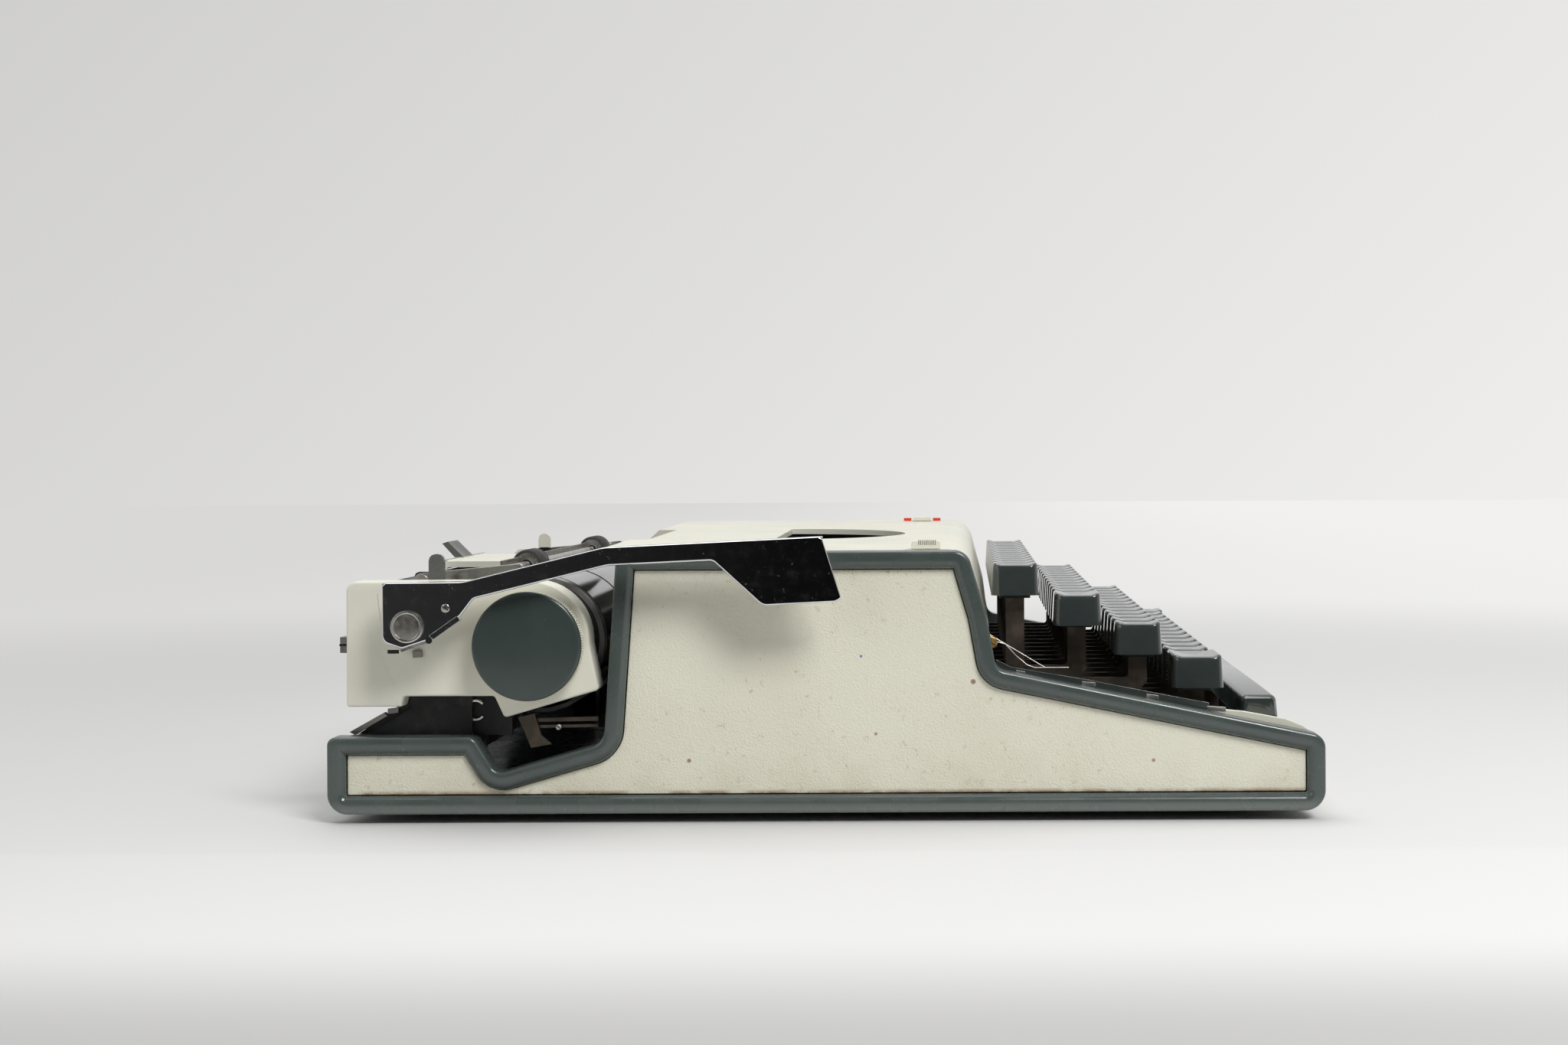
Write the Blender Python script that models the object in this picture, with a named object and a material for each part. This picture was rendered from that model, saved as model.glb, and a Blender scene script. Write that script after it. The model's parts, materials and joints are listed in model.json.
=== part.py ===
"""Portable typewriter, built from separate pieces at real size, in metres.

X runs to the typist's right, Y to the rear and Z up. The origin lies on the table under the
middle of the machine. Outlines are lists of corners with a fillet radius each.
"""
import math

import bmesh
import bpy
from mathutils import Matrix, Vector

# Body
OBJECT_HALF_WIDTH = 0.1705
KNOB_REACH = 0.018
BODY_DEPTH = 0.330
FRAME_TOP = 0.0896
FOOT_HEIGHT = 0.0032
FIT_GAP = 0.0003
CUT_OVERRUN = 0.002
CORNER_STEPS = 3
PLATE_CORNER_STEPS = 2
SHARP_ANGLE_DEG = 35
ROUND_SIDES = 24
SMALL_ROUND_SIDES = 10
MEDIUM_ROUND_SIDES = 20
SHAFT_SIDES = 16
KNOB_SIDES = 36
PLATEN_SIDES = 44

# Side frames, with a recess for a flat panel in each outer face
FRAME_THICKNESS = 0.009
FRAME_TRIM = 0.0042
FRAME_BEVEL = 0.0017
FRAME_EDGE_ROUND = 0.0008
PANEL_RECESS = 0.003
PANEL_THICKNESS = 0.002

# Lower casing and front panel
CASING_SHEET = 0.0018
CASING_REAR_HEIGHT = 0.0235
CASING_FRONT_HEIGHT = 0.0165
CASING_CORNER_RADIUS = 0.006
CASING_INSET = 0.002
FRONT_PANEL_SHEET = 0.0022
FRONT_PANEL_REACH = 0.0215
FRONT_PANEL_DROP = 0.0042
FRONT_PANEL_FOOT = 0.0058
FRONT_PANEL_LIP = 0.0032
SPACE_BAR_CUT_GAP = 0.002

# Feet
FOOT_RADIUS = 0.0075
FOOT_TAPER = 0.001
FOOT_SIDE_INSET = 0.0275
FOOT_END_INSET = 0.0295

# Chassis, the steel frame inside
CHASSIS_PLATE = 0.002
CHASSIS_SIDE_GAP = 0.0085
CHASSIS_CLEARANCE = 0.0005
CHASSIS_BAR_HEIGHT = 0.0085
CHASSIS_BAR_DEPTH = 0.006
SEGMENT_BAR_DEPTH = 0.012
SEGMENT_BAR_HEIGHT = 0.0107
SPOOL_SHELF_THICKNESS = 0.002
SPOOL_SHELF_HEIGHT = 0.055
SPOOL_SHELF_DEPTH = 0.042
SPOOL_POST_RADIUS = 0.002
HINGE_PIN_RADIUS = 0.0014
HINGE_EAR_RADIUS = 0.0019
RAIL_POST_WIDTH = 0.01

# Ribbon cover
COVER_TOP = 0.0925
COVER_SHEET = 0.0022
COVER_SIDE_GAP = 0.0008
COVER_HINGE_BACK = 0.0028
COVER_HINGE_DROP = 0.0045
COVER_KNUCKLE_RADIUS = 0.0028
COVER_BORE_GAP = 0.00035
COVER_REAR_BACK = 0.0178
COVER_REAR_DROP = 0.0062
COVER_REAR_RUN = 0.0065
COVER_FRONT_INSET = 0.111
COVER_FRONT_BOTTOM = 0.067
COVER_FRONT_LEAN = 0.0069
COVER_FRONT_RADIUS = 0.009
BASKET_RADIUS = 0.048
BASKET_FRONT_INSET = 0.0246
BASKET_STEPS = 18
VIEW_NOTCH_WIDTH = 0.09
VIEW_NOTCH_DEPTH = 0.014
SELECTOR_SLOT_LENGTH = 0.016
SELECTOR_SLOT_WIDTH = 0.004
SELECTOR_SIDE_INSET = 0.0155
TOUCH_SELECTOR_INSET = 0.1322
RIBBON_SELECTOR_INSET = 0.1382
SELECTOR_LENGTH = 0.009
SELECTOR_CAP_LENGTH = 0.0125
SELECTOR_CAP_WIDTH = 0.0055
SELECTOR_CAP_HEIGHT = 0.0026
SELECTOR_STEM_DEPTH = 0.006

# Keyboard
BODY_PITCHES = 16
KEY_GAP = 0.00355
KEY_DEPTH = 0.0165
KEY_HEIGHT = 0.0107
KEY_TOP_TAPER = 0.0012
KEY_DISH = 0.0011
KEY_DISH_STEPS = 3
KEY_COLUMNS = 11
LANES_IN_PITCH = 4
LEVER_PLATE = 0.0012
LEVER_STEM_WIDTH = 0.0064
LEVER_ARM_HEIGHT = 0.0048
LEVER_STEM_SINK = 0.003
LEVER_KNEE_REACH = 0.08
LEVER_KNEE_BEHIND = 0.0075
LEVER_HUB_RADIUS = 0.0035
FULCRUM_RADIUS = 0.00125
FULCRUM_AHEAD = 0.0392
FULCRUM_Z = 0.012
HUB_RUN_GAP = 0.00035
FIRST_ROW_INSET = 0.1017
FIRST_ROW_TOP = 0.0837
KEYBOARD_REACH = 0.0611
KEYBOARD_DROP = 0.0312
FIRST_ROW_ARM_TOP = 0.0465
SINGLE_HUB_WIDTH = 0.0036
FUNCTION_KEYS_INSET = 0.0108
SHIFT_KEYS_INSET = 0.0025
SHIFT_LANE_PITCHES = 6.5
SHIFT_TUBE_RADIUS = 0.0022
SHIFT_AXIS_AHEAD = 0.0275
SHIFT_AXIS_Z = 0.009
SHIFT_RISE_AHEAD = 0.0077
SHIFT_RISE = 0.0125
SPACE_BAR_HALF_LENGTH = 0.0925
SPACE_BAR_DEPTH = 0.014
SPACE_BAR_INSET = 0.0146
SPACE_BAR_TOP = 0.0367
SPACE_BAR_SKIRT = 0.0095
SPACE_BAR_CROWN = 0.002
SPACE_ARM_X = 0.075
SPACE_ARM_WIDTH = 0.003
SPACE_ARM_HEIGHT = 0.0036
SPACE_AXIS_INSET = 0.09
SPACE_AXIS_Z = 0.0135
SPACE_BRACKET_ROUND = 0.003

# Places of the four rows of keys, front to back and in height, and of their arms
ROW_PLACE_shares = (0.0, 0.352, 0.687, 1.0)
ROW_HEIGHT_shares = (0.0, 0.337, 0.647, 1.0)
ARM_HEIGHT_shares = (0.0, -0.05, 0.06, 0.33)
ROW_LANES = (0, 2, -1, 1)

# Typebars
SEGMENT_AHEAD = 0.0172
SEGMENT_BOTTOM = 0.0165
SEGMENT_TOP = 0.021
SEGMENT_INNER_RADIUS = 0.007
SEGMENT_OUTER_RADIUS = 0.0178
SEGMENT_STEPS = 18
TYPEBAR_PIVOT_RADIUS = 0.014
TYPEBAR_PIVOT_Z = 0.026
TYPEBAR_LENGTH = 0.0515
TYPEBAR_SLOPE_DEG = 20
TYPEBAR_HEIGHT = 0.0036
TYPEBAR_PLATE = 0.0012
TYPE_HEAD_LENGTH = 0.008
TYPE_HEAD_HEIGHT = 0.0072
TYPEBARS_EACH_SIDE = 16
FAN_FIRST_DEG = 5.5
FAN_LAST_DEG = 82
FAN_RING_INNER = 0.008
FAN_RING_OUTER = 0.0105
FAN_RING_HEIGHT = 0.0027

# Ribbon
SPOOL_SIDE_INSET = 0.036
SPOOL_AHEAD = 0.0442
SPOOL_RADIUS = 0.018
SPOOL_CORE_RADIUS = 0.0125
SPOOL_HEIGHT = 0.0145
SPOOL_FLANGE = 0.001
SPOOL_LIFT = 0.0006
RIBBON_WIDTH = 0.0115
RIBBON_THICKNESS = 0.0004
RIBBON_PLATEN_GAP = 0.0022
RIBBON_GUIDE_X = 0.034
RIBBON_GUIDE_AHEAD = 0.0052
RIBBON_CENTRE_HALF = 0.012

# Carriage
CARRIAGE_SIDE_INSET = 0.002
PLATEN_RADIUS = 0.0215
PLATEN_FRONT_GAP = 0.0065
PLATEN_Z = 0.0593
PLATEN_BORE_GAP = 0.0004
PLATEN_SHAFT_RADIUS = 0.003
PLATEN_END_GAP = 0.006
END_COVER_THICKNESS = 0.0112
END_COVER_REAR_INSET = 0.0062
END_COVER_HEIGHT = 0.0448
END_COVER_HOLE_GAP = 0.0004
END_COVER_STEPS = 4
CARRIAGE_SHEET = 0.0014
PAN_GAP = 0.0011
PAN_START_DEG = 205
PAN_STEPS = 8
RAIL_TOP_GAP = 0.0005
RAIL_BOTTOM_Z = 0.022
RATCHET_RADIUS = 0.011
RATCHET_TEETH = 20
RATCHET_TOOTH = 0.0013
RATCHET_WIDTH = 0.0018
RATCHET_OFFSET = 0.0014
KNOB_RADIUS = 0.0176
KNOB_WIDTH = 0.0105
KNOB_CHAMFER = 0.0009
KNOB_GAP = 0.0008
KNOB_BORE_DEPTH = 0.006

# Paper table, support, bail and levers on the carriage
TABLE_SIDE_INSET = 0.0223
TABLE_SHEET = 0.0012
TABLE_PLATEN_GAP = 0.0012
TABLE_FRONT_DEG = -20
BAIL_ARM_GAP = 0.0004
BAIL_ARM_THICKNESS = 0.0016
BAIL_ARM_HEIGHT = 0.0055
BAIL_PIVOT_BACK = 0.0437
BAIL_PIVOT_UP = 0.0195
BAIL_BOSS_RADIUS = 0.003
BAIL_ROD_RADIUS = 0.0014
BAIL_TIP_REACH = 0.0055
BAIL_ROLLER_RADIUS = 0.0055
BAIL_ROLLER_LENGTH = 0.017
BAIL_ROLLER_X = 0.0735
BAIL_ROLLER_GAP = 0.0004
BAIL_ROLLER_ANGLE_DEG = 58
SUPPORT_HALF_WIDTH = 0.036
SUPPORT_THICKNESS = 0.0022
SUPPORT_DEPTH = 0.021
SUPPORT_TAB_HALF_WIDTH = 0.009
SUPPORT_TAB_REACH = 0.007
SUPPORT_HINGE_RADIUS = 0.0018
MARGIN_ROD_RADIUS = 0.0018
MARGIN_ROD_BACK = 0.057
MARGIN_ROD_Z = 0.05
MARGIN_STOP_INSET = 0.0393
MARGIN_STOP_LENGTH = 0.008
MARGIN_STOP_SIZE = 0.0086
MARGIN_STOP_TAB = 0.005
TAB_THICKNESS = 0.002
TAB_WIDTH = 0.0052
LEFT_RELEASE_TOP = 0.0887
RIGHT_RELEASE_TOP = 0.0785
RELEASE_BACK = 0.0346
RELEASE_PIVOT_Z = 0.068
PAPER_RELEASE_INSET = 0.0133
PAPER_RELEASE_BACK = 0.0455
PAPER_RELEASE_TOP = 0.0875
STUD_RADIUS = 0.002

# Carriage return lever
LEVER_LENGTH = 0.1403
LEVER_PIVOT_BACK = 0.0369
LEVER_PIVOT_UP = 0.0072
LEVER_SHEET = 0.0012
LEVER_FLANGE = 0.007
PIVOT_HEAD_RADIUS = 0.0052
PIVOT_HEAD_THICKNESS = 0.0009
PIVOT_STUD_RADIUS = 0.0034

# Bell
BELL_SIDE_INSET = 0.035
BELL_AHEAD = 0.0072
BELL_RADIUS = 0.014
BELL_WALL = 0.0014
BELL_HEIGHT = 0.009
BELL_SHOULDER = 0.0063
BELL_CROWN_RADIUS = 0.0112
BELL_TOP_RADIUS = 0.0042
BELL_POST_RADIUS = 0.002

# Worked out from the values above
HALF_WIDTH = OBJECT_HALF_WIDTH - KNOB_REACH
HALF_DEPTH = BODY_DEPTH / 2
INNER_HALF = HALF_WIDTH - FRAME_THICKNESS

# Corners of the side frame: place along half the depth, place in the height, fillet radius.
# They run from the rear bottom, along the bottom to the front and back over the top.
FRAME_CORNER_shares = (
    (1.0, 0.0357),
    (1.0, 0.3203),
    (0.7061, 0.3203),
    (0.6606, 0.183),
    (0.4461, 0.2969),
    (0.4194, 1.0),
    (-0.2836, 1.0),
    (-0.3218, 0.7612),
    (-0.3412, 0.5603),
    (-1.0, 0.3114),
    (-1.0, 0.0357),
)
FRAME_CORNER_RADII = (0.0068, 0.0026, 0.0035, 0.0042, 0.0062, 0.0014, 0.006, 0.03, 0.0045, 0.005, 0.0068)

# Corners of a carriage end cover, from the platen axis: shares of its length and height
END_COVER_shares = (
    (0.7193, -0.4598, 0.02),
    (0.7193, 0.4665, 0.075),
    (-0.2087, 0.4665, 0.44),
    (-0.2207, -0.01, 0.05),
    (-0.2573, -0.3415, 0.03),
    (0.1097, -0.5446, 0.03),
    (0.1486, -0.3839, 0.03),
    (0.4988, -0.3839, 0.02),
    (0.5083, -0.4598, 0.01),
)

# Corners of the return lever's skirt from its pivot: shares of its length. The first eight lie
# on its lower edge, from the pivot end forward, and the rest on its upper edge, going back.
LEVER_shares = (
    (0.0128, -0.0513, 0.02),
    (-0.0556, -0.0292, 0.02),
    (-0.1219, 0.0235, 0.03),
    (-0.1525, 0.0634, 0.02),
    (-0.4612, 0.1383, 0.06),
    (-0.7035, 0.149, 0.02),
    (-0.8175, 0.0442, 0.03),
    (-0.985, 0.052, 0.02),
    (-1.0, 0.0592, 0.008),
    (-0.9544, 0.2031, 0.012),
    (-0.4519, 0.1803, 0.12),
    (-0.1262, 0.1019, 0.08),
    (0.0584, 0.1005, 0.01),
    (0.0577, -0.0356, 0.02),
)
LEVER_TOP_CORNERS = slice(9, 13)

frame_corners = [
    (y_share * HALF_DEPTH, z_share * FRAME_TOP, radius)
    for (y_share, z_share), radius in zip(FRAME_CORNER_shares, FRAME_CORNER_RADII)
]
deck_top = frame_corners[1][1]
upright_top_y = frame_corners[5][0]
slope_back = frame_corners[8]
slope_front = frame_corners[9]
PLATEN_Y = upright_top_y + PLATEN_FRONT_GAP + PLATEN_RADIUS
frame_bottom = frame_corners[0][1]
floor_top = frame_bottom + CASING_SHEET

# Places across the machine, from its middle
FOOT_X = HALF_WIDTH - FOOT_SIDE_INSET
CHASSIS_HALF_WIDTH = INNER_HALF - CHASSIS_SIDE_GAP
chassis_inner = CHASSIS_HALF_WIDTH - CHASSIS_PLATE
SELECTOR_X = INNER_HALF - SELECTOR_SIDE_INSET
SPOOL_X = CHASSIS_HALF_WIDTH - SPOOL_SIDE_INSET
BELL_X = CHASSIS_HALF_WIDTH - BELL_SIDE_INSET
KEY_PITCH = 2 * HALF_WIDTH / BODY_PITCHES
KEY_WIDTH = KEY_PITCH - KEY_GAP
LEVER_LANE = KEY_PITCH / LANES_IN_PITCH
FUNCTION_KEYS_HALF_WIDTH = chassis_inner - FUNCTION_KEYS_INSET
SHIFT_KEYS_HALF_WIDTH = chassis_inner - SHIFT_KEYS_INSET
SHIFT_LANE_X = SHIFT_LANE_PITCHES * KEY_PITCH
CARRIAGE_HALF_WIDTH = HALF_WIDTH - CARRIAGE_SIDE_INSET
end_cover_inner = CARRIAGE_HALF_WIDTH - END_COVER_THICKNESS
TABLE_HALF_WIDTH = end_cover_inner - TABLE_SIDE_INSET
MARGIN_STOP_X = end_cover_inner - MARGIN_STOP_INSET
PAPER_RELEASE_X = end_cover_inner - PAPER_RELEASE_INSET

# Places along the machine: from the front of the body, or ahead of and behind the upright
FOOT_Y = HALF_DEPTH - FOOT_END_INSET
FIRST_ROW_Y = FIRST_ROW_INSET - HALF_DEPTH
SPACE_BAR_Y = SPACE_BAR_INSET - HALF_DEPTH
SPACE_AXIS_Y = SPACE_AXIS_INSET - HALF_DEPTH
touch_selector_y = TOUCH_SELECTOR_INSET - HALF_DEPTH
ribbon_selector_y = RIBBON_SELECTOR_INSET - HALF_DEPTH
COVER_FRONT = HALF_DEPTH - COVER_FRONT_INSET
BASKET_REAR_Y = COVER_FRONT_LEAN - COVER_FRONT + BASKET_FRONT_INSET + BASKET_RADIUS
COVER_HINGE_Y = upright_top_y + COVER_HINGE_BACK
COVER_REAR = upright_top_y + COVER_REAR_BACK
SEGMENT_Y = upright_top_y - SEGMENT_AHEAD
FULCRUM_Y = upright_top_y - FULCRUM_AHEAD
SHIFT_AXIS_Y = upright_top_y - SHIFT_AXIS_AHEAD
SHIFT_RISE_Y = SHIFT_AXIS_Y - SHIFT_RISE_AHEAD
SPOOL_Y = upright_top_y - SPOOL_AHEAD
RIBBON_GUIDE_Y = upright_top_y - RIBBON_GUIDE_AHEAD
LEVER_KNEE_Y = FULCRUM_Y - LEVER_KNEE_REACH
BELL_Y = PLATEN_Y - BELL_AHEAD
END_COVER_LENGTH = (HALF_DEPTH - END_COVER_REAR_INSET - PLATEN_Y) / END_COVER_shares[0][0]


def slope_z(y):
    """Height of the side frame's sloping front edge at a place y."""
    share = (y - slope_back[0]) / (slope_front[0] - slope_back[0])
    return slope_back[1] + share * (slope_front[1] - slope_back[1])


def clear_scene():
    for obj in list(bpy.data.objects):
        bpy.data.objects.remove(obj, do_unlink=True)


def material(name, colour, roughness, metallic=0.0):
    mat = bpy.data.materials.get(name)
    if mat is None:
        mat = bpy.data.materials.new(name)
        mat.use_nodes = True
        shader = mat.node_tree.nodes["Principled BSDF"]
        shader.inputs["Base Color"].default_value = (*colour, 1.0)
        shader.inputs["Roughness"].default_value = roughness
        shader.inputs["Metallic"].default_value = metallic
    return mat


def cream_panel():
    return material("cream_textured_panel", (0.66, 0.66, 0.58), 0.75)


def cream_plastic():
    return material("cream_plastic", (0.68, 0.68, 0.60), 0.45)


def trim_plastic():
    return material("grey_green_trim", (0.070, 0.093, 0.088), 0.3)


def key_plastic():
    return material("key_plastic", (0.05, 0.062, 0.06), 0.3)


def black_steel():
    return material("black_steel", (0.02, 0.02, 0.021), 0.5, 0.6)


def bright_steel():
    return material("bright_steel", (0.62, 0.62, 0.6), 0.25, 1.0)


def chrome():
    return material("chrome", (0.75, 0.75, 0.76), 0.08, 1.0)


def rubber():
    return material("rubber", (0.03, 0.028, 0.026), 0.7)


def platen_rubber():
    return material("platen_rubber", (0.3, 0.3, 0.29), 0.35)


def ribbon_cloth():
    return material("ribbon_cloth", (0.015, 0.015, 0.02), 0.9)


def finish(bm, name, mat):
    """Turns a closed bmesh into a named object with outward faces."""
    bmesh.ops.recalc_face_normals(bm, faces=bm.faces)
    mesh = bpy.data.meshes.new(name)
    bm.to_mesh(mesh)
    bm.free()
    mesh.materials.append(mat)
    mesh.shade_smooth()
    mesh.set_sharp_from_angle(angle=math.radians(SHARP_ANGLE_DEG))
    obj = bpy.data.objects.new(name, mesh)
    bpy.context.scene.collection.objects.link(obj)
    return obj


def loft(name, loops, mat, ring=False):
    """Joins loops of equal length; the first and the last are capped unless ring is set."""
    bm = bmesh.new()
    rows = [[bm.verts.new(point) for point in loop] for loop in loops]
    pairs = list(zip(rows, rows[1:]))
    if ring:
        pairs.append((rows[-1], rows[0]))
    for low, high in pairs:
        count = len(low)
        for k in range(count):
            after = (k + 1) % count
            bm.faces.new((low[k], low[after], high[after], high[k]))
    if not ring:
        bm.faces.new(rows[0])
        bm.faces.new(rows[-1])
    return finish(bm, name, mat)


def rounded(corners, inset=0.0, steps=CORNER_STEPS):
    """Closed outline with filleted corners, moved inwards by inset; it may run either way round."""
    count = len(corners)
    points = [Vector((corner[0], corner[1])) for corner in corners]
    area = sum(points[k - 1].cross(points[k]) for k in range(count))
    if area < 0:
        corners = list(reversed(corners))
        points.reverse()
    ways = [(points[(k + 1) % count] - points[k]).normalized() for k in range(count)]
    outline = []
    for k, point in enumerate(points):
        way_in = ways[k - 1]
        way_out = ways[k]
        turn = math.atan2(way_in.cross(way_out), way_in.dot(way_out))
        radius = max(corners[k][2] - math.copysign(inset, turn), FIT_GAP)
        normal_in = Vector((-way_in.y, way_in.x))
        mitre = (normal_in + Vector((-way_out.y, way_out.x))).normalized()
        corner = point + mitre * (inset / mitre.dot(normal_in))
        reach = radius * math.tan(abs(turn) / 2)
        start = corner - way_in * reach
        centre = start + normal_in * math.copysign(radius, turn)
        for step in range(steps + 1):
            outline.append(centre + Matrix.Rotation(turn * step / steps, 2) @ (start - centre))
    return outline


def across(outline, x):
    """Places an outline of Y and Z at one X."""
    return [Vector((x, point[0], point[1])) for point in outline]


def prism(name, outline, x_from, x_to, mat):
    return loft(name, [across(outline, x_from), across(outline, x_to)], mat)


def box(name, low, high, mat):
    outline = [(low[1], low[2]), (high[1], low[2]), (high[1], high[2]), (low[1], high[2])]
    return prism(name, outline, low[0], high[0], mat)


def circle(radius, sides, centre=(0.0, 0.0)):
    turns = [2 * math.pi * k / sides for k in range(sides)]
    return [(centre[0] + radius * math.cos(turn), centre[1] + radius * math.sin(turn)) for turn in turns]


def turned_x(name, profile, y, z, mat, sides=ROUND_SIDES, ring=False):
    """Solid of revolution about a line along X; the profile is a list of (x, radius)."""
    loops = [across(circle(radius, sides, (y, z)), x) for x, radius in profile]
    return loft(name, loops, mat, ring)


def turned_z(name, profile, x, y, mat, sides=ROUND_SIDES, ring=False):
    """Solid of revolution about an upright line; the profile is a list of (z, radius)."""
    loops = [[Vector((px, py, z)) for px, py in circle(radius, sides, (x, y))] for z, radius in profile]
    return loft(name, loops, mat, ring)


def rod(name, x_from, x_to, y, z, radius, mat, sides=SMALL_ROUND_SIDES):
    return turned_x(name, [(x_from, radius), (x_to, radius)], y, z, mat, sides)


def tube(name, x_from, x_to, y, z, radius, bore, mat, sides=ROUND_SIDES):
    profile = [(x_from, radius), (x_to, radius), (x_to, bore), (x_from, bore)]
    return turned_x(name, profile, y, z, mat, sides, ring=True)


def strip(path, thickness):
    """Outline of a bent sheet whose one face follows the path and whose body lies to its left."""
    points = [Vector(point) for point in path]
    offset = []
    for k, point in enumerate(points):
        ways = []
        if k > 0:
            ways.append((point - points[k - 1]).normalized())
        if k < len(points) - 1:
            ways.append((points[k + 1] - point).normalized())
        normals = [Vector((-way.y, way.x)) for way in ways]
        mitre = (normals[0] + normals[-1]).normalized()
        offset.append(point + mitre * (thickness / mitre.dot(normals[0])))
    return points + list(reversed(offset))


def combine(target, tool, operation):
    """Boolean of two objects; the tool is used up."""
    modifier = target.modifiers.new(operation, "BOOLEAN")
    modifier.operation = operation
    modifier.solver = "EXACT"
    modifier.object = tool
    bpy.context.view_layer.update()
    graph = bpy.context.evaluated_depsgraph_get()
    mesh = bpy.data.meshes.new_from_object(target.evaluated_get(graph))
    target.modifiers.remove(modifier)
    target.data = mesh
    bpy.data.objects.remove(tool, do_unlink=True)
    return target


def join(target, *tools):
    for tool in tools:
        combine(target, tool, "UNION")
    return target


def cut(target, *tools):
    for tool in tools:
        combine(target, tool, "DIFFERENCE")
    return target


def set_origin(obj, place):
    """Moves an object's origin to its joint without moving the object."""
    shift = Vector(place)
    obj.data.transform(Matrix.Translation(-shift))
    obj.location = shift
    return obj


def make_side_frames():
    for side, label in ((-1, "left"), (1, "right")):
        face = side * HALF_WIDTH
        recess_depth = PANEL_RECESS + PANEL_THICKNESS + FIT_GAP
        loops = [
            across(rounded(frame_corners), face - side * FRAME_THICKNESS),
            across(rounded(frame_corners), face - side * FRAME_EDGE_ROUND),
            across(rounded(frame_corners, FRAME_EDGE_ROUND), face),
            across(rounded(frame_corners, FRAME_TRIM), face),
            across(rounded(frame_corners, FRAME_TRIM + FRAME_BEVEL), face - side * FRAME_BEVEL),
            across(rounded(frame_corners, FRAME_TRIM + FRAME_BEVEL), face - side * recess_depth),
        ]
        loft(f"{label}_side_frame", loops, trim_plastic())
        panel = rounded(frame_corners, FRAME_TRIM + FRAME_BEVEL + FIT_GAP)
        outer = face - side * PANEL_RECESS
        prism(f"{label}_side_panel", panel, outer, outer - side * PANEL_THICKNESS, cream_panel())


def make_lower_casing():
    rear = HALF_DEPTH - CASING_INSET
    half = INNER_HALF - FIT_GAP
    outer = [
        (-rear + FRONT_PANEL_SHEET + FIT_GAP, frame_bottom),
        (rear, frame_bottom),
        (rear, frame_bottom + CASING_REAR_HEIGHT),
        (rear - CASING_SHEET, frame_bottom + CASING_REAR_HEIGHT),
        (rear - CASING_SHEET, floor_top),
        (-rear + FRONT_PANEL_SHEET + FIT_GAP + CASING_SHEET, floor_top),
        (-rear + FRONT_PANEL_SHEET + FIT_GAP + CASING_SHEET, frame_bottom + CASING_FRONT_HEIGHT),
        (-rear + FRONT_PANEL_SHEET + FIT_GAP, frame_bottom + CASING_FRONT_HEIGHT),
    ]
    inner_radius = CASING_CORNER_RADIUS - CASING_SHEET
    radii = [CASING_CORNER_RADIUS] * 2 + [FIT_GAP] * 2 + [inner_radius] * 2 + [FIT_GAP] * 2
    corners = [(y, z, radius) for (y, z), radius in zip(outer, radii)]
    prism("lower_casing", rounded(corners), -half, half, trim_plastic())


def make_front_panel():
    front = -HALF_DEPTH + CASING_INSET
    back = front + FRONT_PANEL_REACH
    half = INNER_HALF - FIT_GAP
    path = [
        (back, slope_z(back) - FRONT_PANEL_DROP),
        (front + FRONT_PANEL_LIP / 2, slope_z(front) - FRONT_PANEL_DROP),
        (front, slope_z(front) - FRONT_PANEL_DROP - FRONT_PANEL_LIP / 2),
        (front, FRONT_PANEL_FOOT),
    ]
    panel = prism("front_panel", strip(path, FRONT_PANEL_SHEET), -half, half, cream_plastic())
    opening_half = SPACE_BAR_HALF_LENGTH + SPACE_BAR_CUT_GAP
    opening = box(
        "opening",
        (-opening_half, front + FRONT_PANEL_LIP, floor_top),
        (opening_half, back + CUT_OVERRUN, FRAME_TOP),
        cream_plastic(),
    )
    cut(panel, opening)


def make_feet():
    for x_side, x_label in ((-1, "left"), (1, "right")):
        for y_side, y_label in ((-1, "front"), (1, "rear")):
            profile = [
                (0.0, FOOT_RADIUS - FOOT_TAPER),
                (FOOT_HEIGHT / 2, FOOT_RADIUS),
                (FOOT_HEIGHT - FIT_GAP, FOOT_RADIUS),
            ]
            turned_z(
                f"foot_{y_label}_{x_label}",
                profile,
                x_side * FOOT_X,
                y_side * FOOT_Y,
                rubber(),
                MEDIUM_ROUND_SIDES,
            )


def hinge_axis():
    return COVER_HINGE_Y, COVER_TOP - COVER_HINGE_DROP


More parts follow.
